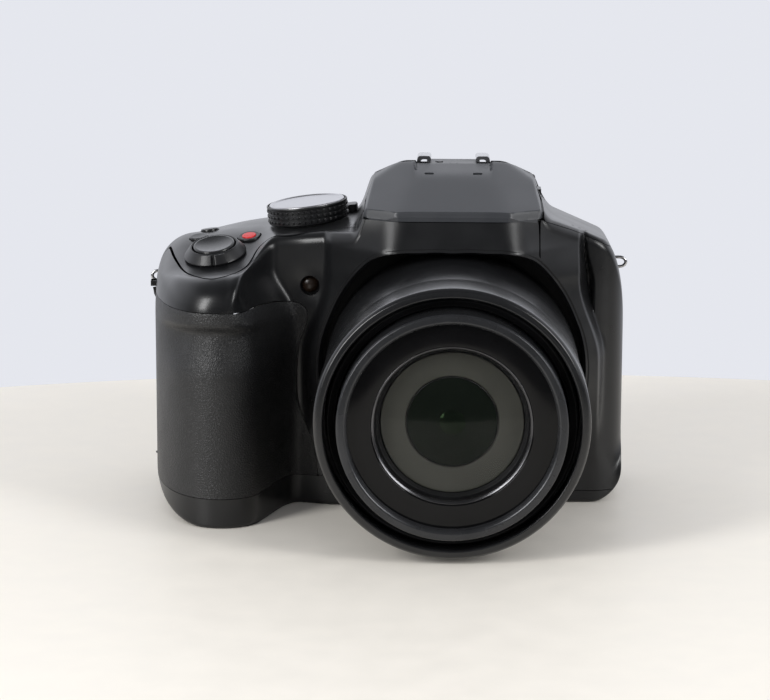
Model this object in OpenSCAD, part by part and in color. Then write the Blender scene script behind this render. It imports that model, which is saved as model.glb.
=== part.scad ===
// Bridge camera with a retracting zoom lens, a pop-up flash and an eye-level viewfinder.
// Millimetres, +Z up. The lens looks along -Y, +X is to the right of someone facing the lens,
// and the origin is the mouth of the tripod socket in the base.

/* [Body] */
// Left end of the body, on the grip side
body_left = -82.5; // [-86:0.5:-81]
// Right end of the body
body_right = 47.7; // [46.7:0.1:50]
// Rear face, behind the tripod axis
body_back = 25; // [24:0.5:28]
// Front face left of the lens, ahead of the tripod axis
panel_left = 19; // [17:0.5:21]
// Front face right of the lens, ahead of the tripod axis
panel_right = 13; // [11:0.5:15]
// Wall of the covers
wall = 2; // [1.6:0.1:2.4]
// Height of the base cover
base_h = 8; // [7:0.5:9]
// Parting plane of the front and rear covers
split_y = 6; // [4:0.5:8]
// Height of the top deck at the mode dial
deck_z = 76.5; // [75:0.5:78]
// Fall of the deck towards the grip, mm per mm
deck_fall = 0.12; // [0.1:0.01:0.14]
// Height of the right shoulder beside the hump
shoulder_z = 81.5; // [80.5:0.1:82.5]
// Height of the hump
hump_z = 94.3; // [93.5:0.1:95.5]
// Half width of the hump's flat top
hump_top_half = 14; // [13:0.5:15]
// Fall of the hump behind the flash lid, mm per mm
hump_rear_fall = 0.18; // [0.15:0.01:0.2]
// Half width of the hump where its walls begin
hump_half = 21.9; // [21:0.1:23]

/* [Grip] */
// Centre plane of the grip
grip_x = -66; // [-67:0.5:-65]
// Front of the grip, ahead of the tripod axis
grip_front = 46; // [44:0.5:48]
// Width of the grip's inner side
grip_inner = 17; // [16:0.5:18]
// Fall of the grip's top towards the front, mm per mm
grip_fall = 0.25; // [0.2:0.01:0.3]
// Thickness of the grip rubber
rubber_t = 1; // [0.8:0.1:1.3]
// Upper edge of the grip rubber
rubber_top = 58; // [56:0.5:60]
// Inner edge of the grip rubber
rubber_edge_x = -43; // [-44:0.5:-42]

/* [Lens] */
// Height of the lens axis
lens_z = 37.5; // [36.5:0.5:38.5]
// Outer radius of the fixed barrel
barrel_r = 36; // [35.2:0.1:36.6]
// Front of the fixed barrel, ahead of the tripod axis
barrel_front = 79.6; // [77:0.1:82]
// Front of the second moving barrel
lens_front = 83; // [81.5:0.5:85]
// Step from the fixed barrel in to the second moving barrel
stage_2_step = 6; // [5.8:0.1:6.8]
// Width of the second moving barrel's rim, outside the filter thread
rim_w = 2.8; // [2.2:0.1:3.2]
// Width of the name ring
name_ring_w = 6.8; // [5.7:0.1:7.2]
// Running gap between one barrel and the next
barrel_gap = 0.4; // [0.3:0.05:0.5]
// Depth of the hood round the lens
hood_front = 36; // [35:0.5:37]
// Height of the hood's lip
hood_z = 74.4; // [73.8:0.1:75]
// Play between the zoom gears' teeth
gear_play = 0.3; // [0.25:0.05:0.4]

/* [Flash and shoe] */
// Height of the flash lid's lower edge
lid_z = 82.5; // [82:0.1:83]
// Hinge axis of the flash, ahead of the tripod axis
flash_axis_y = -2.2; // [-2.6:0.1:-1.8]
// Radius of the flash hinge pin
flash_pin_r = 0.9; // [0.7:0.1:1.1]
// Running clearance of a pin in its bore
pin_gap = 0.05; // [0.03:0.01:0.08]
// Clear width between the shoe rails
shoe_gap_w = 12.5; // [12:0.1:13]
// Clear width under the shoe rails
shoe_slot_w = 18.6; // [18.4:0.1:18.9]
// Depth of the shoe's seat below the top of the hump
shoe_sink = 3.8; // [3.6:0.1:4]
// Height of the shoe rails above their seat
shoe_h = 4.6; // [4.4:0.1:5]
// Length of the shoe
shoe_len = 19; // [18:0.5:20]

/* [Controls] */
// Gap round buttons and dials
gap = 0.3; // [0.25:0.05:0.4]
// Mode dial centre, across
dial_x = -40.3; // [-41:0.1:-39]
// Mode dial centre, along
dial_y = 1; // [0:0.5:2]
// Mode dial radius
dial_r = 11.4; // [10.8:0.1:11.8]
// Mode dial height
dial_h = 5.4; // [4.8:0.1:6]
// Shutter button centre, across
shutter_x = -65.4; // [-66.4:0.1:-64.4]
// Shutter button centre, along
shutter_y = -16; // [-17:0.5:-15]
// Shutter button radius
shutter_r = 5.75; // [5.25:0.05:6]
// Zoom lever radius
lever_r = 8.6; // [8.3:0.1:9]
// Radius of the small round buttons
small_r = 2.5; // [2.2:0.1:2.8]
// Radius of the movie button
movie_r = 3.2; // [2.9:0.1:3.4]
// Radius of the cursor pad
pad_r = 10.5; // [10:0.1:11]
// Radius of the set button
set_r = 4; // [3.7:0.1:4.3]
// Radius of the rear dial
rear_dial_r = 7.5; // [7:0.1:8]
// Radius of the dioptre dial
dioptre_r = 3.5; // [3.2:0.1:4]

/* [Display and viewfinder] */
// Left edge of the display window
lcd_left = -35; // [-36:0.5:-34]
// Right edge of the display window
lcd_right = 37; // [36:0.5:38]
// Lower edge of the display window
lcd_low = 10; // [9.5:0.5:11]
// Upper edge of the display window
lcd_high = 62; // [60:0.5:62.5]
// Height of the viewfinder axis
finder_z = 79; // [78.5:0.5:80]
// Width of the eyecup
eyecup_w = 38; // [36:0.5:40]
// Height of the eyecup
eyecup_h = 18.5; // [18:0.5:19]
// Rear edge of the eyecup, behind the tripod axis
eyecup_back = 36.2; // [34:0.1:38]

/* [Fittings] */
// Radius of the tripod thread
tripod_r = 2.6; // [2.5:0.05:2.8]
// Depth of the tripod thread
tripod_len = 5.5; // [5:0.1:6.5]
// Radius of the hole in each strap lug
lug_hole_r = 1.6; // [1.3:0.1:1.8]
// Battery width
battery_w = 17; // [16:0.5:18]
// Battery depth
battery_d = 33; // [31:0.5:34]
// Battery height
battery_h = 44; // [41:0.5:46]

/* [Hidden] */
$fn = 64;
eps = 0.02;
far = 200;

// Outer form: named shape values
side_y = 8;
end_round = 9;
top_left_round = 12;
top_right_round = 8;
base_round = 3.5;
base_end_round = 6;
rear_round = 3;
shoulder_x = 27.2;
shoulder_fall = 0.437;
shoulder_rear_fall = 0.08;
shoulder_rear_y = 20;
hump_side_fall = 0.44;
hump_wall_fall = 3;
hood_half = 17;
hood_lean = 0.5;
ridge_half = 35;
ridge_swell = 4.5;
ridge_front = 22;

// Shared sizes worked out from the driving dimensions
lid_gap = 0.3;
rubber_gap = 0.15;
lid_round = 3.6;
flash_axis_z = hump_z - lid_round;
shoe_front = flash_axis_y + lid_round + lid_gap + 0.1;
shoe_floor = hump_z - shoe_sink;
shoe_top = shoe_floor + shoe_h;
ring_teeth = 104;
pinion_teeth = 12;
ring_gear_step = 4.8;
ring_pitch_r = barrel_r - ring_gear_step;
gear_module = 2*ring_pitch_r/ring_teeth;
pinion_pitch_r = gear_module*pinion_teeth/2;
gear_centres = ring_pitch_r - pinion_pitch_r;
pinion_angle = 150;
opening_r = barrel_r + 0.6;

// Barrel nest, from the outside in
fixed_r = barrel_r - 0.8;
fixed_in_r = barrel_r - 1.7;
cam_r = fixed_in_r - 0.3;
cam_in_r = cam_r - 0.8;
stage_1_r = cam_in_r - barrel_gap;
stage_1_in_r = stage_1_r - 1.2;
stage_2_r = barrel_r - stage_2_step;
stage_2_in_r = stage_2_r - 1.4;
filter_r = stage_2_r - rim_w;
name_ring_r = filter_r - name_ring_w;
cell_r = stage_2_in_r - 0.2;
recess_floor = panel_left;
flange_back = recess_floor + 0.2;
flange_front = flange_back + 2;
gear_back = flange_front + 0.4;
gear_w = 3;
stage_1_back = gear_back + gear_w + 0.8;
stage_1_front = barrel_front - 1.4;
stage_2_back = stage_1_back + 0.8;

// Blends: rounded maximum, smooth ramp from 0 to 1, and one quarter of a rounded corner
function smax(a, b, k) = max(a, b) + pow(max(k - abs(a - b), 0), 2)/(4*k);
function ramp(a, b, t) = let (u = min(max((t - a)/(b - a), 0), 1)) u*u*(3 - 2*u);
function quarter(u, p) = pow(max(1 - pow(min(abs(u), 1), p), 0), 1/p);
function drop(e, r) = r - sqrt(max(r*r - pow(min(max(e, 0), r), 2), 0));

// How far the front reaches ahead of the tripod axis; q is the inset of an inner surface
function grip_depth(x, q) =
    let (
        outer = x < grip_x,
        half = (outer ? grip_x - body_left : grip_inner) - q
    )
    side_y + (grip_front - side_y - q)*quarter((x - grip_x)/half, outer ? 2 : 2.4);
function panel_depth(x, q) =
    let (
        flat = panel_left + (panel_right - panel_left)*ramp(8, 30, x),
        past = x - (body_right - q - end_round)
    )
    (flat - q)*ramp(grip_x, grip_x + 8, x) - drop(past, end_round);
function hood_depth(x, z, q) =
    let (
        crown = hood_front - q - hood_lean*max(z - hood_z, 0),
        edge = ridge_half - q + ridge_swell*(1 - ramp(lens_z + 8.5, lens_z + 23.5, z)),
        along = smax(abs(x) - hood_half, 0, 3)/(edge - hood_half),
        flank = crown - (crown - ridge_front + q)*along
    )
    min(flank, ridge_front - q - 3*(abs(x) - edge)) - 30*(1 - ramp(lens_z - 27.5, lens_z - 15.5, z));
function depth(x, z, q) =
    smax(smax(grip_depth(x, q), panel_depth(x, q), 10), hood_depth(x, z, q), 3);

// Rear face, floor and roof of the outer form
function rear(x, q) =
    let (
        left = (grip_x - x)/(grip_x - body_left - q),
        past = x - (body_right - q - end_round)
    )
    x < grip_x
        ? -side_y + (body_back + side_y - q)*quarter(left, 4)
        : body_back - q - drop(past, end_round);
function floor_at(x, q) =
    q + drop(body_left + q + base_end_round - x, base_end_round)
      + drop(x - (body_right - q - base_end_round), base_end_round);
function deck(x, y) =
    x < 0
        ? deck_z + deck_fall*(x - dial_x) - grip_fall*ramp(-48, -56, x)*smax(-y - 2, 0, 6)
        : min(shoulder_z - shoulder_fall*(x - shoulder_x), shoulder_z + 3)
            - shoulder_rear_fall*smax(y + shoulder_rear_y, 0, 6);
function hump(x, y, q) =
    let (across = abs(x) + q, fall = hump_rear_fall*smax(y, 0, 3))
    min(hump_z - fall - hump_side_fall*max(across - hump_top_half, 0),
        hump_z - hump_side_fall*(hump_half - hump_top_half) - hump_wall_fall*(across - hump_half));
function hump_out(z) =
    hump_half + (hump_z - hump_side_fall*(hump_half - hump_top_half) - z)/hump_wall_fall;
function roof(x, y, q) =
    smax(deck(x, y), hump(x, y, q), 4) - q
    - drop(body_left + q + top_left_round - x, top_left_round)
    - drop(x - (body_right - q - top_right_round), top_right_round);

// One section of the outer form across the body, as a ring of points from the base up the front
function section(x, q, nw, nr, nf) =
    let (
        low = floor_at(x, q),
        back = rear(x, q),
        thick = depth(x, lens_z, q) + back,
        in_grip = ramp(-50, -58, x),
        rb = min(base_round, 0.3*thick),
        ry = min(6 + 8*in_grip, 0.42*thick),
        rz = 8 + 4*in_grip,
        rt = min(rear_round, 0.3*thick),
        wall_top = roof(x, -depth(x, deck_z - rz, q), q) - rz,
        front_top = depth(x, wall_top, q),
        front_low = depth(x, low + rb, q),
        roof_a = ry - front_top,
        roof_b = back - rt,
        back_top = roof(x, roof_b, q) - rt
    )
    concat(
        [for (i = [0:nf - 1]) let (t = 90*i/nf)
            [x, -front_low + rb*(1 - sin(t)), low + rb*(1 - cos(t))]],
        [for (i = [0:nw]) let (z = low + rb + (wall_top - low - rb)*i/nw) [x, -depth(x, z, q), z]],
        [for (i = [1:nf]) let (t = 90*i/nf, y = ry*(1 - cos(t)) - front_top)
            [x, y, roof(x, y, q) - rz*(1 - sin(t))]],
        [for (i = [1:nr]) let (y = roof_a + (roof_b - roof_a)*i/nr) [x, y, roof(x, y, q)]],
        [for (i = [1:nf]) let (t = 90*i/nf) [x, roof_b + rt*sin(t), back_top + rt*cos(t)]],
        [for (i = [1:3]) [x, back, back_top + (low + rb - back_top)*i/3]],
        [for (i = [1:nf]) let (t = 90*i/nf) [x, back - rb*(1 - cos(t)), low + rb*(1 - sin(t))]]
    );

// Places of the sections, close together where the ends turn
function stations(q, ends, mids) =
    let (
        left = grip_x - body_left - q,
        right = body_right - q - end_round
    )
    concat(
        [for (i = [0:ends - 1]) grip_x - left*cos(90*(i + 0.15)/ends)],
        [for (i = [0:mids]) grip_x + (right - grip_x)*i/mids],
        [for (i = [1:4]) right + end_round*sin(90*i/4)]
    );

// Solid of the outer form, inset by q
module body_form(q, ends, mids, nw, nr, nf) {
    rings = [for (x = stations(q, ends, mids)) section(x, q, nw, nr, nf)];
    n = len(rings[0]);
    m = len(rings);
    points = [for (ring = rings, p = ring) p];
    sides = [
        for (i = [0:m - 2], j = [0:n - 1])
        let (a = i*n + j, b = i*n + (j + 1)%n)
        each [[a, b, a + n], [b, b + n, a + n]]
    ];
    polyhedron(points, concat(sides, [[for (j = [n - 1:-1:0]) j], [for (j = [0:n - 1]) (m - 1)*n + j]]));
}
module outer_form() { body_form(0, 6, 40, 12, 7, 3); }
module inner_form() { body_form(wall, 4, 26, 8, 5, 2); }
module shell() {
    difference() {
        outer_form();
        inner_form();
    }
}

// Patch of skin over the grip, between two insets of the outer form
module grip_patch(q0, q1, low, high, edge_x) {
    nc = 22;
    nr = 9;
    function column(c, q) =
        c < 3
            ? [body_left + q, split_y - 0.6 - (split_y + side_y)*c/3]
            : let (
                  t = (c - 3)/(nc - 3),
                  nose = 0.55,
                  x = t < nose
                      ? grip_x - (grip_x - body_left - q)*cos(90*t/nose)
                      : grip_x + (edge_x - grip_x)*(t - nose)/(1 - nose)
              )
              [x, -depth(x, lens_z - 20, q)];
    function point(c, r, q) =
        let (p = column(c, q), z = low + (high - low)*r/nr)
        p.x > grip_x ? [p.x, -depth(p.x, min(z, 44), q), z] : [p.x, p.y, z];
    outer = [for (c = [0:nc], r = [0:nr]) point(c, r, q0)];
    inner = [for (c = [0:nc], r = [0:nr]) point(c, r, q1)];
    k = (nc + 1)*(nr + 1);
    function at(c, r) = c*(nr + 1) + r;
    skin = [for (c = [0:nc - 1], r = [0:nr - 1])
        each [[at(c, r), at(c, r + 1), at(c + 1, r)], [at(c + 1, r), at(c, r + 1), at(c + 1, r + 1)]]];
    back = [for (f = skin) [f[0] + k, f[2] + k, f[1] + k]];
    rim = concat(
        [for (c = [0:nc]) at(c, 0)], [for (r = [1:nr]) at(nc, r)],
        [for (c = [nc - 1:-1:0]) at(c, nr)], [for (r = [nr - 1:-1:1]) at(0, r)]);
    m = len(rim);
    edge = [for (i = [0:m - 1]) let (a = rim[i], b = rim[(i + 1)%m]) each [[a, b, a + k], [b, b + k, a + k]]];
    polyhedron(concat(outer, inner), concat(skin, back, edge));
}

// Frames that the parts are drawn in
module lens_axis() { translate([0, 0, lens_z]) rotate([90, 0, 0]) children(); }
module on_deck(x, y) {
    along = roof(x, y + 0.5, 0) - roof(x, y - 0.5, 0);
    across = roof(x + 0.5, y, 0) - roof(x - 0.5, y, 0);
    translate([x, y, roof(x, y, 0)]) rotate([atan(along), -atan(across), 0]) children();
}
module on_rear(x, z) { translate([x, body_back, z]) rotate([-90, 0, 0]) children(); }
module along_x(x0, x1, y, z, r) {
    translate([x0, y, z]) rotate([0, 90, 0]) cylinder(r = r, h = x1 - x0);
}
module box(a, b) { translate(a) cube(b - a); }
module ring(r_out, r_in, a, b) {
    rotate_extrude() translate([r_in, a]) square([r_out - r_in, b - a]);
}
module rounded_slab(w, h, r, t) {
    linear_extrude(t) hull() for (x = [-1, 1], y = [-1, 1])
        translate([x*(w/2 - r), y*(h/2 - r)]) circle(r, $fn = 32);
}
module bead(a, b, r) { hull() for (p = [a, b]) translate(p) sphere(r, $fn = 8); }

// Flash lid and the well below it
lid_half = hump_out(lid_z) - 0.2;
lid_front = -31.5;
lid_corner = 7.3;
well_half = 19;
well_front = -27.5;
well_back = flash_axis_y - 0.8;
well_floor = lid_z - 7.5;
well_wall = 1.2;
arm_x = 7;
arm_t = 2;
arm_r = 2.1;
rail_t = 0.9;
shoe_block = shoe_slot_w/2 + rail_t + wall;

// Zones that the outer form is parted into
module lens_opening(grow, near, ahead) {
    lens_axis() translate([0, 0, near]) linear_extrude(ahead - near) {
        circle(opening_r + grow, $fn = 96);
        polygon([
            [-15.5 - grow*0.5, hood_z - 1.5 - lens_z + grow], [15.5 + grow*0.5, hood_z - 1.5 - lens_z + grow],
            [29.5 + grow, 26 + grow*0.3], [29.5, 10], [-29.5, 10], [-29.5 - grow, 26 + grow*0.3]
        ]);
    }
}
module top_zone() {
    lobe = [for (i = [0:12]) let (t = 180 + 180*i/12) [grip_x - 1.5 + 13.5*cos(t), -12 + 17*sin(t)]];
    plan = concat([[-far, 60], [-far, -12]], lobe, [
        [-52, -13.5], [-lid_half, -14.5], [-lid_half, well_front], [lid_half, well_front],
        [lid_half, -60], [far, -60], [far, 60]
    ]);
    seam = [
        [-far, deck_z - 11.3], [-62, deck_z - 11.3], [-40, deck_z - 6.5],
        [-24, deck_z - 4.5], [24, deck_z - 4.5],
        [25, shoulder_z - 6.8], [43, shoulder_z - 12], [far, 40], [far, far], [-far, far]
    ];
    intersection() {
        linear_extrude(far) polygon(plan);
        translate([0, 60, 0]) rotate([90, 0, 0]) linear_extrude(130) polygon(seam);
    }
}
module lid_space(grow) {
    low = lid_z - lid_gap - grow;
    clear_r = lid_round + lid_gap + grow;
    rotate([90, 0, 90]) translate([0, 0, -30]) linear_extrude(60) polygon([
        [-60, low], [flash_axis_y, low], [flash_axis_y + 0.92*clear_r, flash_axis_z - 1],
        [flash_axis_y + lid_round/2, flash_axis_z], [flash_axis_y + lid_round/2, far], [-60, far]
    ]);
    along_x(-30, 30, flash_axis_y, flash_axis_z, clear_r);
}

// Places of the controls and openings, shared by the covers and the parts
lamp_x = -39.3;
lamp_z = 62;
lamp_r = 2.3;
movie_at = [shutter_x + 8.8, shutter_y + 9];
function_1_at = [shutter_x - 3.1, shutter_y + 21];
function_2_at = [shutter_x - 5.6, shutter_y + 13];
power_at = [-28.8, 12];
power_travel = 3;
finder_at = [-22, lcd_high + 5];
lock_at = [-33, lcd_high + 4.5];
playback_at = [-43.5, 55];
display_at = [-43.5, 17];
menu_at = [-70, 16];
pad_at = [-57, 36];
pad_well_r = pad_r + 2*gap;
pivot_r = 0.5;
pivot_depth = -3.4;
rear_dial_out = 3;
rear_dial_at = [-54, body_back + rear_dial_out - rear_dial_r];
rear_dial_half = sqrt(pow(rear_dial_r, 2) - pow(rear_dial_r - rear_dial_out, 2)) + 1;
rear_dial_z = 59.5;
rear_dial_h = 4.5;
rear_pin_r = 1;
dioptre_y = body_back - 7;
dioptre_z = 84;
switch_y = 8.5;
switch_z = 84;
switch_travel = 2;
rear_small = [finder_at, lock_at, playback_at, display_at, menu_at];
deck_small = [function_1_at, function_2_at];
lever_sleeve_r = shutter_r + 1.3;
dial_shaft_r = 3;
stem_r = 1.2;
lcd_w = lcd_right - lcd_left;
lcd_h = lcd_high - lcd_low;
lcd_mid = [(lcd_left + lcd_right)/2, (lcd_low + lcd_high)/2];
eyepiece_w = 21;
eyepiece_h = 11;
finder_half = 12;
finder_up = 5.4;

// Doors
socket_y0 = -2;
socket_y1 = 14;
socket_z0 = 22;
socket_z1 = 48;
socket_axis = [body_right - 0.8, socket_y1 + 0.3];
knuckle_r = 0.7;
knuckle_pin_r = 0.45;
door_t = 1.7;
battery_mid = [grip_x + 0.5, -12];
door_half = [battery_w/2 + 1, battery_d/2 + 1.5];
battery_axis_x = battery_mid.x + door_half.x + 0.3;
battery_axis_z = 1;
battery_knuckle_r = 0.9;

// Fastenings in the base
bush_r = 5.4;
screw_at = [[24, 14], [-26, 14], [36, 2], [-34, -8]];
screw_head_r = 1.6;
screw_head_low = 0.4;
screw_head_h = 1.2;
screw_r = 0.9;

// Strap lugs: across and height of each one
lug_r = 2.5;
lug_t = 2;
lugs = [[body_right + 0.2, deck_z - 10.5], [body_left - 0.2, rubber_top + lug_r + gap + rubber_gap]];

// Holes that more than one cover shares
module socket_opening() {
    box([body_right - wall - 3, socket_y0 - gap, socket_z0 - gap],
        [body_right + 5, socket_axis.y + knuckle_r + 2*gap, socket_z1 + gap]);
    translate([socket_axis.x, socket_axis.y, socket_z0 - 2])
        cylinder(r = knuckle_pin_r + gap, h = socket_z1 - socket_z0 + 4);
}
module lug_slots() {
    for (l = lugs) translate([l.x, lug_t/2 + gap, l.y]) rotate([90, 0, 0])
        cylinder(r = lug_r + gap, h = lug_t + 2*gap);
}
module deck_holes() {
    on_deck(dial_x, dial_y) translate([0, 0, -10]) cylinder(r = dial_shaft_r + gap, h = 20);
    on_deck(shutter_x, shutter_y) translate([0, 0, -10])
        cylinder(r = lever_sleeve_r + gap, h = 20);
    on_deck(movie_at.x, movie_at.y) translate([0, 0, -10]) cylinder(r = movie_r + gap, h = 20);
    for (p = deck_small) on_deck(p.x, p.y) translate([0, 0, -10])
        cylinder(r = small_r + gap, h = 20);
    on_deck(power_at.x, power_at.y)
        box([-stem_r - gap, -3 - gap, -10], [stem_r + gap, power_travel + 3 + gap, 10]);
    along_x(hump_out(dioptre_z) - 8, 40, dioptre_y, dioptre_z, dioptre_r + gap);
    box([20, switch_y - 2.5 - gap, switch_z - 1.2 - gap],
        [30, switch_y + 2.5 + switch_travel + gap, switch_z + 1.2 + gap]);
}
module rear_holes() {
    for (p = rear_small) on_rear(p.x, p.y) translate([0, 0, -10]) cylinder(r = small_r + gap, h = 20);
    on_rear(pad_at.x, pad_at.y) {
        translate([0, 0, -10]) cylinder(r = pad_well_r, h = 20);
        translate([0, 0, pivot_depth]) rotate([90, 0, 0])
            cylinder(r = pivot_r + gap, h = 2*pad_well_r + 4, center = true);
    }
    box([rear_dial_at.x - rear_dial_half, body_back - 4, rear_dial_z - gap],
        [rear_dial_at.x + rear_dial_half, body_back + 5, rear_dial_z + rear_dial_h + gap]);
    translate([rear_dial_at.x, rear_dial_at.y, rear_dial_z - gap])
        cylinder(r = rear_dial_r + gap, h = rear_dial_h + 2*gap);
    on_rear(lcd_mid.x, lcd_mid.y) translate([0, 0, -1.2])
        rounded_slab(lcd_w + 2*gap, lcd_h + 2*gap, 2, 5);
    on_rear(lcd_mid.x, lcd_mid.y) translate([0, 0, -5]) rounded_slab(lcd_w - 5, lcd_h - 5, 1.5, 8);
}

// Covers
module front_cover() {
    color("#1b1d20") difference() {
        union() {
            difference() {
                shell();
                top_zone();
                lid_space(0);
            }
            intersection() {
                outer_form();
                difference() {
                    lens_opening(1.6, recess_floor - 1.8, hood_front + 5);
                    top_zone();
                    lid_space(0);
                }
            }
            for (x = [-78, -75, -72, -69, -63, -60, -57, -54]) {
                y = 0.5 - depth(x, 30, wall);
                bead([x, y, 14], [x, y, 54], 0.9);
            }
        }
        lens_opening(0, recess_floor, 100);
        lens_axis() cylinder(r = cell_r + 2, h = 60);
        box([-far, split_y, -far], [far, far, far]);
        box([-far, -far, -far], [far, far, base_h]);
        grip_patch(-1, rubber_t + 2*rubber_gap, base_h - 1,
            rubber_top + rubber_gap, rubber_edge_x + rubber_gap);
        translate([lamp_x, 0, lamp_z]) rotate([90, 0, 0]) cylinder(r = lamp_r + gap, h = 40);
        socket_opening();
        lug_slots();
    }
}
module top_cover() {
    well_low = [-well_half, well_front, well_floor];
    well_high = [well_half, well_back, lid_z - lid_gap];
    t = [well_wall, well_wall, well_wall];
    color("#1b1d20") difference() {
        union() {
            difference() {
                union() {
                    intersection() {
                        union() {
                            shell();
                            intersection() {
                                outer_form();
                                lid_space(1.5);
                            }
                        }
                        top_zone();
                    }
                    box(well_low, well_high + [0, 0, well_wall]);
                }
                lid_space(0);
            }
            intersection() {
                outer_form();
                box([-shoe_block, shoe_front, shoe_floor - wall], [shoe_block, shoe_front + shoe_len, hump_z]);
            }
            for (x = [-arm_x, arm_x]) {
                along_x(x - arm_t/2, x + arm_t/2, flash_axis_y, flash_axis_z, arm_r);
                box([x - arm_t/2, flash_axis_y, flash_axis_z - arm_r],
                    [x + arm_t/2, shoe_front + 1, flash_axis_z]);
            }
            for (x = [-72, -60, -55, -50, -46, -34, 31, 37]) {
                z = roof(x, 16, wall) + 0.4;
                bead([x, 12, z], [x, 20, z], 0.8);
            }
        }
        box(well_low + t, well_high + [-well_wall, -well_wall, 1]);
        box([-shoe_slot_w/2 - rail_t - gap, shoe_front - gap, shoe_floor],
            [shoe_slot_w/2 + rail_t + gap, shoe_front + shoe_len + wall, far]);
        along_x(-15, 15, flash_axis_y, flash_axis_z, flash_pin_r);
        translate([0, 15, finder_z]) rotate([-90, 0, 0]) rounded_slab(eyepiece_w + 1, eyepiece_h + 1, 3, 20);
        deck_holes();
    }
}
module rear_cover() {
    color("#1b1d20") difference() {
        union() {
            difference() {
                shell();
                top_zone();
            }
            for (z = [rear_dial_z - 2.4, rear_dial_z + rear_dial_h + 0.7])
                box([rear_dial_at.x - 3, rear_dial_at.y - 3, z], [rear_dial_at.x + 3, body_back - 1, z + 1.4]);
            on_rear(pad_at.x, pad_at.y) ring(pad_well_r + 1.4, pad_well_r, -6, -1);
            for (x = [-74, -70, -36, 39], z = [24, 50])
                bead([x, body_back - wall, z - 8], [x, body_back - wall, z + 8], 0.8);
        }
        box([-far, -far, -far], [far, split_y, far]);
        box([-far, -far, -far], [far, far, base_h]);
        translate([rear_dial_at.x, rear_dial_at.y, rear_dial_z - 4])
            cylinder(r = rear_pin_r + gap, h = rear_dial_h + 8);
        rear_holes();
        socket_opening();
    }
}
module base_cover() {
    door = [door_half.x + gap, door_half.y + gap];
    color("#1b1d20") difference() {
        union() {
            intersection() {
                shell();
                box([-far, -far, -far], [far, far, base_h]);
            }
            for (x = [-40, -30, -20, -12, 12, 20, 30, 38]) bead([x, -4, wall], [x, 8, wall], 0.8);
        }
        translate([0, 0, -1]) cylinder(r = bush_r + 0.1, h = 10);
        box([battery_mid.x - door.x, battery_mid.y - door.y, -1],
            [battery_axis_x + battery_knuckle_r + gap, battery_mid.y + door.y, base_h - 4]);
        translate([battery_axis_x, battery_mid.y - door.y - 2, battery_axis_z]) rotate([-90, 0, 0])
            cylinder(r = knuckle_pin_r + gap, h = 2*door.y + 4);
        for (p = screw_at) translate([p.x, p.y, -1]) {
            cylinder(r = screw_head_r + 0.2, h = 1 + screw_head_low + screw_head_h);
            cylinder(r = screw_r + 0.2, h = 10);
        }
    }
}
module grip_rubber() {
    color("#26282a") grip_patch(0, rubber_t, base_h + rubber_gap, rubber_top, rubber_edge_x);
}
module thumb_rest() {
    color("#26282a") on_rear(-67, 55.5) translate([0, 0, eps]) rounded_slab(10, 11, 3, 2.4);
}

// Frame and electronics
chassis_y = 9.5;
chassis_t = 1.2;
board_y = 12;
board_t = 1.2;
socket_face = body_right - wall - 0.6;
socket_back = socket_face - 9;
module chassis() {
    color("#8d9196") {
        box([-48, chassis_y, 12], [socket_back - gap, chassis_y + chassis_t, 64]);
        for (x = [-42, socket_back - 3], z = [18, 58])
            translate([x, chassis_y + chassis_t, z]) rotate([-90, 0, 0])
                cylinder(r = 1.6, h = board_y - chassis_y - chassis_t);
    }
}
module main_board() {
    color("#1f5a3a") {
        box([-46, board_y, 13], [socket_back + 2, board_y + board_t, 62]);
        for (c = [[-30, 30, 14], [-6, 40, 12], [16, 24, 10], [24, 50, 8]])
            translate([c.x, board_y + board_t + 0.7, c.y]) cube([c[2], 1.4, c[2]], center = true);
    }
}
module image_sensor() {
    color("#6f7478") {
        box([-15, 5, lens_z - 12], [15, 6.6, lens_z + 12]);
        box([-11, 6.6, lens_z - 9], [11, chassis_y, lens_z + 9]);
    }
}

// Zoom lens: local z runs forwards along the lens axis from the tripod axis
motor_r = 4.6;
motor_gap = 1;
base_tube_r = gear_centres - motor_r - motor_gap;
base_bore_r = 15;
pinion_shaft_r = 0.8;
shaft_back = 10;
shaft_hole_r = 1.3;
module pinion_axis() { lens_axis() rotate(pinion_angle) translate([gear_centres, 0, 0]) children(); }
module lens_base() {
    color("#2a2c2e") difference() {
        lens_axis() {
            ring(base_tube_r, base_bore_r, -5, recess_floor - 1.6);
            ring(cell_r + 1, base_bore_r, recess_floor - 1.6, flange_back);
        }
        pinion_axis() cylinder(r = shaft_hole_r, h = 40);
    }
}
module fixed_barrel() {
    groove = barrel_front - 14.2;
    color("#222427") difference() {
        lens_axis() rotate_extrude($fn = 128) polygon([
            [fixed_r, flange_back], [fixed_r, groove - 1.2], [fixed_r - 0.6, groove - 1.2],
            [fixed_r - 0.6, groove],
            [barrel_r - 0.4, groove], [barrel_r, groove + 0.4], [barrel_r, barrel_front - 0.6],
            [barrel_r - 0.6, barrel_front], [stage_1_r + barrel_gap, barrel_front],
            [stage_1_r + barrel_gap, barrel_front - 3], [fixed_in_r, barrel_front - 3],
            [fixed_in_r, flange_front], [24.5, flange_front], [24.5, flange_back]
        ]);
        pinion_axis() cylinder(r = shaft_hole_r, h = 40);
    }
}
module zoom_motor() {
    color("#9a9da1") pinion_axis() difference() {
        translate([0, 0, 1]) cylinder(r = motor_r, h = recess_floor - 2.9);
        translate([0, 0, shaft_back - gap]) cylinder(r = pinion_shaft_r + pin_gap, h = 20);
    }
}
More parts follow.
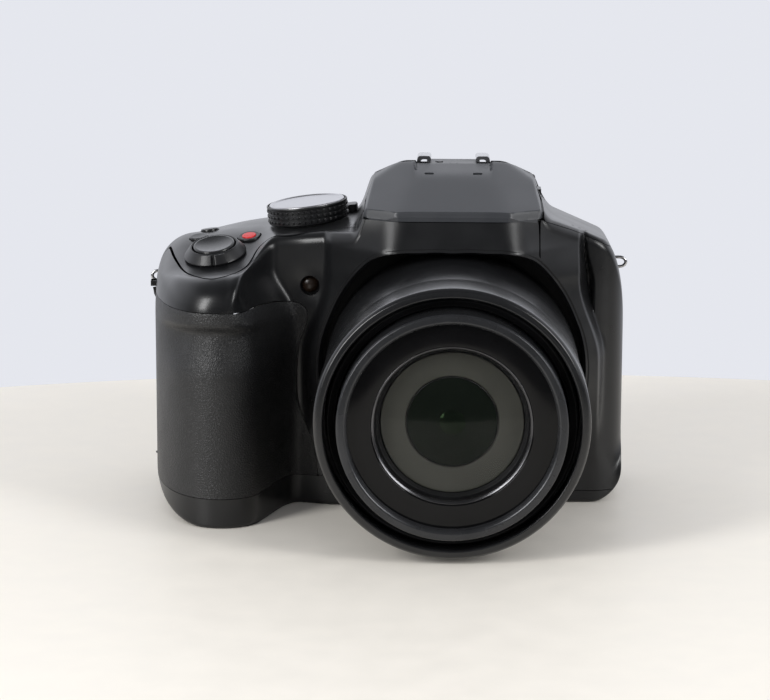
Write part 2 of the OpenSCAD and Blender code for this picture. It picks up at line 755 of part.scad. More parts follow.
// Tooth outline: half thickness at the root and at the tip, between two radii
module teeth(n, r_root, r_tip, half_root, half_tip) {
    for (i = [0:n - 1]) rotate(360*i/n)
        polygon([[r_root, -half_root], [r_tip, -half_tip], [r_tip, half_tip], [r_root, half_root]]);
}
module zoom_pinion() {
    half = PI*gear_module/4 - gear_play/2;
    color("#d8d4c4") pinion_axis() {
        translate([0, 0, shaft_back])
            cylinder(r = pinion_shaft_r, h = gear_back + gear_w - shaft_back, $fn = 32);
        translate([0, 0, gear_back + 0.2]) linear_extrude(gear_w - 0.4) {
            circle(pinion_pitch_r - 0.8*gear_module);
            teeth(pinion_teeth, pinion_pitch_r - gear_module, pinion_pitch_r + 0.65*gear_module,
                half + 0.12, half - 0.22);
        }
    }
}
module cam_tube() {
    half = PI*gear_module/4 - gear_play/2;
    root = ring_pitch_r + gear_module;
    phase = pinion_angle + 180/ring_teeth;
    color("#4a4d50") lens_axis() {
        ring(cam_r, cam_in_r, gear_back + gear_w, barrel_front - 9);
        translate([0, 0, gear_back]) linear_extrude(gear_w) {
            difference() {
                circle(cam_r);
                circle(root);
            }
            rotate(phase)
                teeth(ring_teeth, root + 0.2, ring_pitch_r - 0.6*gear_module, half + 0.05, half - 0.1);
        }
    }
}
module first_barrel() {
    color("#2a2c2e") lens_axis() rotate_extrude($fn = 128) polygon([
        [stage_1_in_r, stage_1_back], [stage_1_r, stage_1_back], [stage_1_r, stage_1_front],
        [stage_2_r + barrel_gap, stage_1_front], [stage_2_r + barrel_gap, stage_1_front - 3],
        [stage_1_in_r, stage_1_front - 3]
    ]);
}
name_back = lens_front - 4.7;
name_front = lens_front - 3;
module second_barrel() {
    color("#34373a") lens_axis() rotate_extrude($fn = 128) polygon([
        [stage_2_in_r, stage_2_back], [stage_1_in_r - barrel_gap, stage_2_back],
        [stage_1_in_r - barrel_gap, stage_2_back + 2], [stage_2_r, stage_2_back + 2],
        [stage_2_r, lens_front - 0.5], [stage_2_r - 0.5, lens_front], [filter_r, lens_front],
        [filter_r, name_front], [stage_2_in_r, name_front]
    ]);
}
cell_in_r = name_ring_r - 0.4;
seat_f = name_back - 7.7;
rear_cell_r = 13.2;
module front_cell() {
    color("#17181a") lens_axis() rotate_extrude() polygon([
        [cell_in_r, name_back], [cell_r, name_back], [cell_r, name_back - 6], [cell_in_r + 1.5, seat_f - 4.5],
        [rear_cell_r + 1.4, seat_f - 8.5], [rear_cell_r + 1.4, seat_f - 15.5], [rear_cell_r, seat_f - 15.5],
        [rear_cell_r, seat_f - 7.5], [cell_in_r - 1.4, seat_f], [cell_in_r, seat_f]
    ]);
}
module name_ring() {
    color("#0d0e0f") lens_axis() rotate_extrude($fn = 128) polygon([
        [name_ring_r, name_back], [cell_r, name_back], [cell_r, name_front],
        [name_ring_r + 0.6, name_front - 0.4], [name_ring_r, name_front - 0.9]
    ]);
}
// Front surface of the front element: part of a sphere
glass_r = cell_in_r - 0.2;
glass_curve = 58;
module front_element() {
    vertex = name_back + 0.6;
    color("#3a4038") lens_axis() rotate_extrude($fn = 128) polygon(concat(
        [for (i = [0:16]) let (r = glass_r*i/16)
            [r, vertex - glass_curve + sqrt(glass_curve*glass_curve - r*r)]],
        [[glass_r, seat_f], [0, seat_f]]
    ));
}
module second_element() {
    color("#2c3a30") lens_axis() translate([0, 0, seat_f - 15]) cylinder(r = rear_cell_r - pin_gap, h = 6);
}
module rear_lens_group() {
    color("#22302a") lens_axis() cylinder(r = base_bore_r - pin_gap, h = 15);
}
module focus_lamp() {
    y = -depth(lamp_x, lamp_z, 0);
    color("#3a2416") translate([lamp_x, y + 5, lamp_z]) rotate([90, 0, 0]) {
        cylinder(r = lamp_r, h = 4);
        intersection() {
            translate([0, 0, 4 - lamp_r]) sphere(lamp_r*1.414);
            cylinder(r = lamp_r, h = 8);
        }
    }
}

// Pop-up flash
module lid_form(inset) {
    r = 0.6;
    s = inset + r;
    top_half = hump_top_half - inset;
    corners = [
        [hump_top_half + 1.3 - s, lid_front + s, hump_z - 9.5 - s],
        [lid_half - 4.1 - s, lid_front + s, lid_z + r],
        [lid_half - s, lid_front + lid_corner + s, lid_z + r],
        [lid_half - s, flash_axis_y - s, lid_z + r],
        [hump_half - s, flash_axis_y + 2.4 - s, flash_axis_z - 0.2 - s],
        [hump_top_half - 3 - s, -12, hump_z - 1.9 - s]
    ];
    hull() {
        along_x(-top_half, top_half, flash_axis_y, flash_axis_z, lid_round - inset, $fn = 24);
        for (m = [-1, 1], p = corners) translate([m*p.x, p.y, p.z]) sphere(r, $fn = 10);
    }
}
module flash_lid() {
    slot_half = arm_t/2 + lid_gap;
    color("#232528") difference() {
        lid_form(0);
        difference() {
            translate([0, 0, -1]) lid_form(1.2);
            box([-far, -8, -far], [far, far, far]);
        }
        box([-well_half - 1, well_front + 0.5, lid_z - 1], [well_half + 1, -8, lid_z + 1.4]);
        for (x = [-arm_x, arm_x])
            along_x(x - slot_half, x + slot_half, flash_axis_y, flash_axis_z, lid_round + lid_gap);
        along_x(-13, 13, flash_axis_y, flash_axis_z, flash_pin_r + pin_gap);
    }
}
head_front = -22.7;
head_low = well_floor + 2.5;
head_high = lid_z + 1.9;
head_half = well_half - 3.5;
module flash_head() {
    color("#1b1c1e") {
        box([-head_half, head_front, head_low], [head_half, -12, head_high]);
        for (x = [-8, 8]) translate([x, -15, head_high]) cylinder(r = 1.8, h = 3.6);
    }
}
module flash_window() {
    color("#e9ecee") box([2.5 - head_half, head_front - 0.8, head_low + 0.8],
        [head_half - 2.5, head_front, lid_z - 0.1]);
}
module flash_pin() {
    color("#b8bcc0") along_x(-12.4, 12.4, flash_axis_y, flash_axis_z, flash_pin_r);
}
module flash_switch() {
    out = hump_out(switch_z);
    in = out - wall - 1.8;
    color("#26282b") {
        box([in - eps, switch_y - 2.5, switch_z - 1.2], [out + 0.6, switch_y + 2.5, switch_z + 1.2]);
        box([in - 1, switch_y - 3.6, switch_z - 1.4], [in, switch_y + 3.6, switch_z + 1.4]);
    }
}

// Accessory shoe
shoe_plate_t = 0.5;
module shoe_rails() {
    half = shoe_slot_w/2;
    out = half + rail_t;
    back = shoe_front + shoe_len;
    color("#c4c8cc") {
        box([-out, shoe_front, shoe_floor], [out, back, shoe_floor + shoe_plate_t]);
        for (m = [0, 1]) mirror([m, 0, 0]) {
            box([half, shoe_front, shoe_floor], [out, back, shoe_top]);
            box([shoe_gap_w/2, shoe_front, shoe_top - rail_t], [out, back, shoe_top]);
        }
    }
}
module shoe_contacts() {
    low = shoe_floor + shoe_plate_t;
    color("#1a1b1d") box([-7.5, shoe_front + 3, low], [7.5, shoe_front + shoe_len - 1, low + 0.5]);
    color("#c9a84a") for (p = [[0, 10], [-4, 7], [4, 7], [-4, 13]])
        translate([p.x, shoe_front + p.y, low + 0.5]) cylinder(r = 1.1, h = 0.2);
}

// Top controls
module mode_dial() {
    color("#17181a") on_deck(dial_x, dial_y) difference() {
        union() {
            translate([0, 0, 0.5]) cylinder(r = dial_r, h = dial_h - 0.5);
            translate([0, 0, -7]) cylinder(r = dial_shaft_r, h = 8);
            translate([0, 0, -5.2]) cylinder(r = dial_shaft_r + 1.2, h = 1.2);
        }
        translate([0, 0, dial_h - 0.5]) cylinder(r = dial_r - 1.1, h = 5);
    }
}
module mode_dial_cap() {
    color("#a9adb1") on_deck(dial_x, dial_y) translate([0, 0, dial_h - 0.5])
        cylinder(r = dial_r - 1.2, h = 0.7);
}
module zoom_lever() {
    color("#1b1d1f") on_deck(shutter_x, shutter_y) difference() {
        union() {
            translate([0, 0, 0.4]) cylinder(r1 = lever_r, r2 = lever_r - 1, h = 2);
            translate([0, 0, -5]) cylinder(r = lever_sleeve_r, h = 6.4);
            translate([0, 0, -5.4]) cylinder(r = lever_sleeve_r + 1.2, h = 0.8);
            box([-4.5, -lever_r - 2.6, 0.4], [4.5, -lever_r + 2, 2.2]);
        }
        translate([0, 0, -10]) cylinder(r = shutter_r + gap, h = 20);
    }
}
module shutter_button() {
    dish_r = 26;
    color("#1e2022") on_deck(shutter_x, shutter_y) difference() {
        union() {
            translate([0, 0, -1.6]) cylinder(r = shutter_r, h = 5);
            translate([0, 0, -6]) cylinder(r = stem_r, h = 5);
        }
        translate([0, 0, dish_r + 2.8]) sphere(dish_r, $fn = 96);
    }
}
// Round push button: face above the cover, body through it, collar and stem behind it
module push_button(r, up) {
    collar_z = -wall - 1.8;
    translate([0, 0, collar_z]) cylinder(r = r, h = up - collar_z);
    translate([0, 0, collar_z - 0.9]) cylinder(r = r + 0.8, h = 0.9);
    translate([0, 0, collar_z - 3.3]) cylinder(r = stem_r, h = 3);
}
module movie_button() {
    color("#1b1d1f") on_deck(movie_at.x, movie_at.y) push_button(movie_r, 0.9);
}
module function_button_1() {
    color("#1b1d1f") on_deck(function_1_at.x, function_1_at.y) push_button(small_r, 0.9);
}
module function_button_2() {
    color("#1b1d1f") on_deck(function_2_at.x, function_2_at.y) push_button(small_r, 0.9);
}
module power_switch() {
    color("#17181a") on_deck(power_at.x, power_at.y) {
        box([-1.9, -3.4, 0.3], [1.9, 3.4, 2]);
        box([-stem_r, -3, -wall - 1.2], [stem_r, 3, 0.4]);
        box([-stem_r - 1, -4, -wall - 2], [stem_r + 1, 4, -wall - 1]);
    }
}

// Rear controls
module rear_dial() {
    color("#17181a") translate([rear_dial_at.x, rear_dial_at.y, rear_dial_z]) {
        cylinder(r = rear_dial_r, h = rear_dial_h);
        translate([0, 0, -2.2]) cylinder(r = rear_pin_r, h = rear_dial_h + 4.2);
    }
}
module rear_button(p) { color("#1b1d1f") on_rear(p.x, p.y) push_button(small_r, 0.8); }
module finder_button() { rear_button(finder_at); }
module lock_button() { rear_button(lock_at); }
module playback_button() { rear_button(playback_at); }
module display_button() { rear_button(display_at); }
module menu_button() { rear_button(menu_at); }
gimbal_in_r = pad_r - 3;
gimbal_r = gimbal_in_r + 1.6;
module pad_gimbal() {
    color("#3a3d40") on_rear(pad_at.x, pad_at.y) difference() {
        union() {
            ring(gimbal_r, gimbal_in_r, pivot_depth - 1, pivot_depth + 1);
            for (m = [90, 270]) rotate(m) translate([gimbal_r - 0.5, 0, pivot_depth])
                rotate([0, 90, 0]) cylinder(r = pivot_r, h = pad_well_r + 1.2 - gimbal_r);
        }
        for (m = [0, 180]) rotate(m) translate([gimbal_in_r - 1, 0, pivot_depth])
            rotate([0, 90, 0]) cylinder(r = pivot_r + pin_gap, h = 4);
    }
}
module cursor_pad() {
    color("#1b1d1f") on_rear(pad_at.x, pad_at.y) {
        ring(pad_r, set_r + gap, -1.2, 1.2);
        ring(gimbal_in_r - 0.5, set_r + gap, pivot_depth - 0.8, -1.1);
        for (m = [0, 180]) rotate(m) translate([gimbal_in_r - 1, 0, pivot_depth])
            rotate([0, 90, 0]) cylinder(r = pivot_r, h = 2.2);
    }
}
module set_button() {
    color("#1b1d1f") on_rear(pad_at.x, pad_at.y) {
        translate([0, 0, -5]) cylinder(r = set_r - 0.3, h = 6.4);
        translate([0, 0, -6.2]) cylinder(r = set_r + 0.6, h = 1.2);
    }
}
module dioptre_dial() {
    out = hump_out(dioptre_z);
    color("#17181a") along_x(out - 3.7, out + 1, dioptre_y, dioptre_z, dioptre_r);
}

// Display and viewfinder
module lcd_module() {
    color("#3c4146") box([lcd_left + 3, 18.5, lcd_low + 3], [lcd_right - 3, body_back - 1.2, lcd_high - 3]);
}
module lcd_window() {
    color("#0b0c0e") on_rear(lcd_mid.x, lcd_mid.y) translate([0, 0, -1.2]) rounded_slab(lcd_w, lcd_h, 2, 1.7);
}
module viewfinder() {
    color("#1a1b1d") box([-finder_half, 5, finder_z - finder_up],
        [finder_half, body_back - wall - 0.2, finder_z + finder_up]);
}
module eyepiece_lens() {
    color("#20282c") translate([0, body_back - wall - 0.2, finder_z]) rotate([-90, 0, 0])
        rounded_slab(eyepiece_w, eyepiece_h, 3, 3);
}
module eyecup() {
    color("#222426") translate([0, body_back + eps, finder_z]) rotate([-90, 0, 0]) difference() {
        rounded_slab(eyecup_w, eyecup_h, 7, eyecup_back - body_back);
        translate([0, 0, -1]) rounded_slab(eyepiece_w + 2, eyepiece_h + 2, 4, 5);
        translate([0, 0, 2]) rounded_slab(eyecup_w - 5, eyecup_h - 5, 5, 20);
    }
}

// Doors, battery and fittings
module socket_door() {
    color("#1b1d1f") {
        box([body_right - door_t, socket_y0, socket_z0], [body_right, socket_y1, socket_z1]);
        translate([socket_axis.x, socket_axis.y, socket_z0]) cylinder(r = knuckle_r, h = socket_z1 - socket_z0);
        translate([socket_axis.x, socket_axis.y, socket_z0 - 1.5])
            cylinder(r = knuckle_pin_r, h = socket_z1 - socket_z0 + 3);
    }
}
module socket_block() {
    // Each socket's lower edge, upper edge and depth of its mouth
    sockets = [[socket_z0 + 3, socket_z0 + 11, 3], [socket_z0 + 14, socket_z0 + 23, 3.8]];
    rim = 1.2;
    color("#8f9398") for (s = sockets) difference() {
        box([socket_back, 3, s[0]], [socket_face, board_y, s[1]]);
        box([socket_face - 5, 3 + rim, s[0] + rim], [socket_face + 1, 3 + rim + s[2], s[1] - rim]);
    }
}
module battery() {
    color("#2b2d30") box([battery_mid.x - battery_w/2, battery_mid.y - battery_d/2, wall + 0.5],
        [battery_mid.x + battery_w/2, battery_mid.y + battery_d/2, wall + 0.5 + battery_h]);
}
latch_size = [3.4, 7, 0.8];
latch_at = [battery_mid.x - door_half.x + 1.4, battery_mid.y - 3.5];
latch_travel = 2;
module battery_door() {
    color("#1b1d1f") difference() {
        union() {
            box([battery_mid.x - door_half.x, battery_mid.y - door_half.y, 0],
                [battery_mid.x + door_half.x, battery_mid.y + door_half.y, wall]);
            translate([battery_axis_x, battery_mid.y - door_half.y, battery_axis_z]) rotate([-90, 0, 0])
                cylinder(r = battery_knuckle_r, h = 2*door_half.y);
            translate([battery_axis_x, battery_mid.y - door_half.y - 1.5, battery_axis_z]) rotate([-90, 0, 0])
                cylinder(r = knuckle_pin_r, h = 2*door_half.y + 3);
        }
        box([latch_at.x - gap, latch_at.y - gap, -1],
            [latch_at.x + latch_size.x + latch_travel + gap,
                latch_at.y + latch_size.y + gap, latch_size.z + gap]);
    }
}
module battery_latch() {
    color("#5a5d60") box([latch_at.x, latch_at.y, 0.1],
        [latch_at.x + latch_size.x, latch_at.y + latch_size.y, latch_size.z]);
}
module tripod_bush() {
    color("#b9bdc1") difference() {
        union() {
            cylinder(r = bush_r, h = tripod_len + 1);
            translate([0, 0, wall]) cylinder(r = bush_r + 2, h = 1.2);
        }
        translate([0, 0, -1]) cylinder(r = tripod_r, h = tripod_len + 1);
    }
}
module strap_lugs() {
    color("#c9cdd1") for (l = lugs) translate([l.x, lug_t/2, l.y]) rotate([90, 0, 0])
        difference() {
            cylinder(r = lug_r, h = lug_t);
            translate([0, 0, -1]) cylinder(r = lug_hole_r, h = lug_t + 2);
        }
}
module case_screws() {
    color("#2a2c2e") for (p = screw_at) translate([p.x, p.y, screw_head_low]) {
        difference() {
            cylinder(r = screw_head_r, h = screw_head_h);
            for (a = [0, 90]) rotate(a) translate([-1, -0.25, -1]) cube([2, 0.5, 1.5]);
        }
        cylinder(r = screw_r, h = 6);
    }
}

front_cover();
top_cover();
rear_cover();
base_cover();
grip_rubber();
thumb_rest();
chassis();
main_board();
image_sensor();
lens_base();
fixed_barrel();
zoom_motor();
zoom_pinion();
cam_tube();
first_barrel();
second_barrel();
front_cell();
name_ring();
front_element();
second_element();
rear_lens_group();
focus_lamp();
flash_lid();
flash_head();
flash_window();
flash_pin();
flash_switch();
shoe_rails();
shoe_contacts();
mode_dial();
mode_dial_cap();
zoom_lever();
shutter_button();
movie_button();
function_button_1();
function_button_2();
power_switch();
rear_dial();
finder_button();
lock_button();
playback_button();
display_button();
menu_button();
pad_gimbal();
cursor_pad();
set_button();
lcd_module();
lcd_window();
viewfinder();
eyepiece_lens();
eyecup();
dioptre_dial();
socket_door();
socket_block();
battery();
battery_door();
battery_latch();
tripod_bush();
strap_lugs();
case_screws();
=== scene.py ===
# %% [markdown]
# A bridge camera, dressed for the picture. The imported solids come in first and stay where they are.
# They could be shown as they are, but their covers are made of flat facets. So each outer piece is
# worked out again here as a fine smooth surface in the same place, and the solids inside keep their
# meshes and only get a finish.

# %% Load the frame
import bmesh
import bpy
import numpy as np
from mathutils import Matrix


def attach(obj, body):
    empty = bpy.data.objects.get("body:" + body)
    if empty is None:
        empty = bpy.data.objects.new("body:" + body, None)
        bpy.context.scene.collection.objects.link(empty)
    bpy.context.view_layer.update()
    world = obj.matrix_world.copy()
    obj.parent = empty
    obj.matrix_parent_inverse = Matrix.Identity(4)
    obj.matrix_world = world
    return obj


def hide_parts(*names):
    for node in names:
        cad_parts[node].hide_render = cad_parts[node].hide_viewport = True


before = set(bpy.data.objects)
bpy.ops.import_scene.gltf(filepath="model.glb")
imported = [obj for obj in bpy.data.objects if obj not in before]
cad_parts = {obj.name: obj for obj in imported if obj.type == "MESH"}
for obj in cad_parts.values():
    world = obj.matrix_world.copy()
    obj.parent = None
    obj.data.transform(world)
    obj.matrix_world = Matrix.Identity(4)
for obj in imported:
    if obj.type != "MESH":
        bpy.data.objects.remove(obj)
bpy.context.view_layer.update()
MM = 0.001

# %% [markdown]
# The camera that takes the picture stands where the photographer stood: a little above the lens,
# straight ahead, with a long lens. Its place was fitted to the edges in the photograph, so it is
# written as a target, a distance and three angles.

# %% Camera
PIXELS = (770, 700)
FOCAL_PX = 3085.8
CENTRE_PX = (452.4, 351.5)
TARGET = np.array([0.0, -40.0, 48.46])
DISTANCE = 831.3
TILT, SWING, ROLL = np.radians([12.489, -0.144, 0.434])


def camera_axes(tilt, swing, roll):
    """Right, up and back directions of a camera that looks down by tilt, turned by swing and rolled."""
    back = np.array([np.sin(swing) * np.cos(tilt), -np.cos(swing) * np.cos(tilt), np.sin(tilt)])
    right = np.cross([0, 0, 1], back)
    right = right / np.linalg.norm(right)
    up = np.cross(back, right)
    return right * np.cos(roll) + up * np.sin(roll), up * np.cos(roll) - right * np.sin(roll), back


axes = camera_axes(TILT, SWING, ROLL)
lens_data = bpy.data.cameras.new("photo_camera")
lens_data.sensor_width = 36.0
lens_data.lens = 36.0 * FOCAL_PX / PIXELS[0]
lens_data.shift_x = (PIXELS[0] / 2 - CENTRE_PX[0]) / PIXELS[0]
lens_data.shift_y = (CENTRE_PX[1] - PIXELS[1] / 2) / PIXELS[0]
lens_data.clip_end = 20.0
photo_camera = bpy.data.objects.new("photo_camera", lens_data)
bpy.context.scene.collection.objects.link(photo_camera)
turn = Matrix(np.transpose(axes).tolist()).to_4x4()
photo_camera.matrix_world = Matrix.Translation(((TARGET + axes[2] * DISTANCE) * MM).tolist()) @ turn
bpy.context.scene.camera = photo_camera
bpy.context.scene.view_settings.view_transform = "Standard"
print("camera lens", round(lens_data.lens, 1), "mm")

# %% [markdown]
# Every new piece goes through one helper. It takes an array of points in millimetres and blocks of
# corner numbers, welds the points that meet, turns the faces outwards and hangs the piece on its body.

# %% Piece helper
BODY_MIDDLE = np.array([-15.0, 2.0, 42.0])
SHARP, EASED_FROM = np.radians([35.0, 40.0])
WELD, SLIVER = 2e-6, 5e-7


def put(name, points, faces, body, finish, stands_for=(), slot=None, outside_of=None):
    """One mesh piece. outside_of is a point that an open skin faces away from; a closed one needs none."""
    mesh = bpy.data.meshes.new(name)
    corners = [corner for block in faces for corner in np.asarray(block).tolist()]
    mesh.from_pydata((np.reshape(points, (-1, 3)) * MM).tolist(), [], corners)
    work = bmesh.new()
    work.from_mesh(mesh)
    bmesh.ops.remove_doubles(work, verts=work.verts, dist=WELD)
    bmesh.ops.dissolve_degenerate(work, edges=work.edges, dist=SLIVER)
    bmesh.ops.recalc_face_normals(work, faces=work.faces)
    work.to_mesh(mesh)
    work.free()
    if outside_of is not None:
        normal = np.empty(len(mesh.polygons) * 3)
        middle = np.empty(len(mesh.polygons) * 3)
        area = np.empty(len(mesh.polygons))
        mesh.polygons.foreach_get("normal", normal)
        mesh.polygons.foreach_get("center", middle)
        mesh.polygons.foreach_get("area", area)
        facing = (normal.reshape(-1, 3) * (middle.reshape(-1, 3) - np.asarray(outside_of) * MM)).sum(1)
        if (facing * area).sum() < 0:
            mesh.flip_normals()
    mesh.polygons.foreach_set("use_smooth", np.ones(len(mesh.polygons), bool))
    mesh.set_sharp_from_angle(angle=SHARP)
    piece = bpy.data.objects.new(name, mesh)
    bpy.context.scene.collection.objects.link(piece)
    mesh.materials.append(finish)
    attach(piece, body)
    if stands_for:
        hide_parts(*stands_for)
    print(name, len(mesh.polygons), "faces")
    return piece


def thicken(piece, wall_mm):
    """Gives an open skin a wall on its inner side."""
    made = piece.modifiers.new("wall", "SOLIDIFY")
    made.thickness = wall_mm * MM
    made.offset = -1.0
    return piece


def ease(piece, width_mm, steps=2):
    """Rounds the sharp edges of a piece a little."""
    made = piece.modifiers.new("ease", "BEVEL")
    made.width = width_mm * MM
    made.segments = steps
    made.limit_method = "ANGLE"
    made.angle_limit = EASED_FROM
    made.harden_normals = True
    return piece


def squares(n, m, round_m=False):
    """Corner numbers of the squares of an n by m grid; in a round one each row's end joins its start."""
    i = np.arange(n - 1)[:, None]
    j = np.arange(m if round_m else m - 1)[None, :]
    far = (j + 1) % m
    corners = np.broadcast_arrays(i * m + j, (i + 1) * m + j, (i + 1) * m + far, i * m + far)
    return np.stack(corners, -1).reshape(-1, 4)


def put_rings(name, grid, *rest):
    """Piece from a grid whose rows are closed rings; rest is what put takes after its faces."""
    return put(name, grid, [squares(*grid.shape[:2], round_m=True)], *rest)


# %% [markdown]
# The finishes are made of nodes. Each one reads the piece's own coordinates, which here are the same as
# the frame's, so the grain keeps its real size on every piece. A satin moulded plastic is never one flat
# black: its grain scatters the light, and handling polishes it in patches. So colour and roughness
# wander a little, and a fine bump breaks the highlights.


# %% Finish helpers
def start_finish(name, **sockets):
    """Material with a single shader, whose sockets are set by name."""
    made = bpy.data.materials.new(name)
    made.use_nodes = True
    shader = made.node_tree.nodes["Principled BSDF"]
    for socket, value in sockets.items():
        shader.inputs[socket.replace("_", " ")].default_value = value
    return made, made.node_tree, shader


def add(tree, kind, inputs=None, **settings):
    """Node of one kind, with its settings and its input values."""
    made = tree.nodes.new(kind)
    for key, value in settings.items():
        setattr(made, key, value)
    for key, value in (inputs or {}).items():
        made.inputs[key].default_value = value
    return made


def spots(tree, per_mm, detail=3.0):
    """Noise with per_mm spots in a millimetre, in the piece's own coordinates."""
    place = add(tree, "ShaderNodeTexCoord")
    scale = add(tree, "ShaderNodeMapping", {"Scale": [1000.0 * per_mm] * 3})
    noise = add(tree, "ShaderNodeTexNoise", {"Scale": 1.0, "Detail": detail})
    tree.links.new(place.outputs["Object"], scale.inputs["Vector"])
    tree.links.new(scale.outputs["Vector"], noise.inputs["Vector"])
    return noise.outputs["Fac"]


def between(tree, value, low, high, start=0.3, end=0.7):
    """Value spread from start..end on to low..high."""
    made = add(tree, "ShaderNodeMapRange", {
        "From Min": start, "From Max": end, "To Min": low, "To Max": high})
    tree.links.new(value, made.inputs["Value"])
    return made.outputs["Result"]


def two_tone(tree, value, dark, light, start=0.3, end=0.7):
    """Colour that goes from dark to light as value goes from start to end."""
    made = add(tree, "ShaderNodeValToRGB")
    for stop, place, colour in zip(made.color_ramp.elements, (start, end), (dark, light)):
        stop.position = place
        stop.color = (*colour, 1.0)
    tree.links.new(value, made.inputs["Fac"])
    return made.outputs["Color"]


def bump(tree, shader, height, depth_mm):
    """Bump of a height, that many millimetres deep."""
    made = add(tree, "ShaderNodeBump", {"Strength": 1.0, "Distance": depth_mm * MM})
    tree.links.new(height, made.inputs["Height"])
    tree.links.new(made.outputs["Normal"], shader.inputs["Normal"])


def moulded(name, dark, light, rough, grain_per_mm, grain_mm, **sockets):
    """Moulded or coated finish: patches of colour, wandering roughness and a fine grain."""
    made, tree, shader = start_finish(name, **sockets)
    patch = spots(tree, 0.09)
    grain = spots(tree, grain_per_mm, 2.0)
    tree.links.new(two_tone(tree, patch, dark, light), shader.inputs["Base Color"])
    tree.links.new(between(tree, patch, *rough), shader.inputs["Roughness"])
    bump(tree, shader, grain, grain_mm)
    return made


# %% Plastics
satin_black = moulded(
    "satin_black", (0.0055, 0.0057, 0.0062), (0.0080, 0.0083, 0.0090), (0.27, 0.34), 6.0, 0.005,
    Specular_IOR_Level=0.45)
lid_grey = moulded("lid_grey", (0.030, 0.032, 0.036), (0.036, 0.038, 0.042), (0.36, 0.43), 4.0, 0.012)
deep_black = moulded(
    "deep_black", (0.003, 0.003, 0.0034), (0.005, 0.005, 0.0055), (0.5, 0.65), 5.0, 0.008,
    Specular_IOR_Level=0.2)
knob_black = moulded("knob_black", (0.007, 0.0072, 0.0078), (0.011, 0.0112, 0.012), (0.30, 0.42), 7.0, 0.004)
gear_white = moulded("gear_white", (0.52, 0.50, 0.43), (0.60, 0.57, 0.50), (0.42, 0.55), 4.0, 0.006)
gloss_black = moulded(
    "gloss_black", (0.003, 0.003, 0.0032), (0.0042, 0.0042, 0.0045), (0.07, 0.11), 2.0, 0.0006,
    Specular_IOR_Level=0.2)
red_paint = moulded("red_paint", (0.50, 0.012, 0.014), (0.60, 0.020, 0.020), (0.30, 0.40), 6.0, 0.004)
print("plastics ready")

# %% Metals
barrel_satin = moulded(
    "barrel_satin", (0.007, 0.0072, 0.0078), (0.010, 0.0103, 0.011), (0.20, 0.26), 8.0, 0.002)
rim_satin = moulded(
    "rim_satin", (0.030, 0.031, 0.033), (0.042, 0.043, 0.046), (0.24, 0.32), 8.0, 0.003, Metallic=0.6)
chrome = moulded("chrome", (0.44, 0.44, 0.45), (0.52, 0.52, 0.53), (0.16, 0.26), 5.0, 0.003, Metallic=1.0)
steel = moulded("steel", (0.40, 0.41, 0.42), (0.48, 0.49, 0.50), (0.32, 0.45), 4.0, 0.005, Metallic=1.0)
print("metals ready")

# %% [markdown]
# The grip is covered with soft rubber that has a leather grain: small rounded pebbles with fine valleys
# between them. Cells of a Voronoi texture give the pebbles, and a little noise bends their edges.


# %% Rubber
def leather(name, dark, light, rough, pebbles_per_mm, depth_mm):
    """Rubber with a leather grain: pebbles from cell edges, with painted shade, darker in the valleys and a
    little lighter on their tops.
    """
    made, tree, shader = start_finish(name)
    place = add(tree, "ShaderNodeTexCoord")
    scale = add(tree, "ShaderNodeMapping", {"Scale": [1000.0 * pebbles_per_mm] * 3})
    bend = add(tree, "ShaderNodeTexNoise", {"Scale": 0.8, "Detail": 2.0})
    mix = add(tree, "ShaderNodeVectorMath", operation="MULTIPLY_ADD")
    mix.inputs[1].default_value = (0.9, 0.9, 0.9)
    cells = add(tree, "ShaderNodeTexVoronoi", {"Scale": 1.0}, feature="DISTANCE_TO_EDGE")
    tree.links.new(place.outputs["Object"], scale.inputs["Vector"])
    tree.links.new(scale.outputs["Vector"], bend.inputs["Vector"])
    tree.links.new(bend.outputs["Color"], mix.inputs[0])
    tree.links.new(scale.outputs["Vector"], mix.inputs[2])
    tree.links.new(mix.outputs["Vector"], cells.inputs["Vector"])
    pebble_height_and_shade = between(tree, cells.outputs["Distance"], 0.0, 1.0, 0.0, 0.32)
    # Painted shade: the colour follows the pebble height, darker in the valleys between pebbles and lighter
    # on their tops.
    tree.links.new(two_tone(tree, pebble_height_and_shade, dark, light, 0.0, 0.8), shader.inputs["Base Color"])
    tree.links.new(between(tree, spots(tree, 0.12), *rough), shader.inputs["Roughness"])
    bump(tree, shader, pebble_height_and_shade, depth_mm)
    return made


grip_leather = leather(
    "grip_leather", (0.006, 0.0062, 0.0066), (0.0125, 0.0128, 0.0134), (0.42, 0.50), 1.5, 0.06)
soft_rubber = moulded("soft_rubber", (0.011, 0.011, 0.0115), (0.017, 0.017, 0.0175), (0.6, 0.75), 3.0, 0.02)
print("rubbers ready")

# %% [markdown]
# The body is one rounded form that is parted into covers. Its front is the deepest of three shapes: the
# grip, the flat panels and the hood over the lens. A rounded maximum joins them, as a blend of clay would.
# Most sizes are the ones that the solids have, in millimetres. A pair whose name ends in _X or _Z is where
# a smooth step begins and ends along that axis.

# %% Sizes of the body
LEFT, RIGHT, BACK = -82.5, 47.7, 25.0
PANEL_LEFT, PANEL_LEAN, PANEL_RIGHT, BASE_H, SPLIT_Y = 17.8, 3.0, 16.0, 8.3, 6.0
DECK_Z, DECK_FALL, SHOULDER_Z, SHOULDER_X, SHOULDER_FALL = 76.5, 0.12, 81.5, 27.2, 0.437
HUMP_Z, HUMP_TOP, HUMP_HALF, HUMP_SIDE_FALL, HUMP_WALL_FALL = 94.3, 14.0, 21.9, 0.44, 3.0
GRIP_X, GRIP_FRONT, GRIP_FALL, SIDE_Y = -66.0, 46.0, 0.25, 8.0
END_ROUND, TOP_LEFT_ROUND, TOP_RIGHT_ROUND, TOP_RIGHT_FALL = 9.0, 9.0, 6.2, 20.0
BASE_ROUND, BASE_LEFT_ROUND, BASE_LEFT_RISE, BASE_END_ROUND, REAR_ROUND = 1.2, 16.0, 12.0, 9.0, 3.0
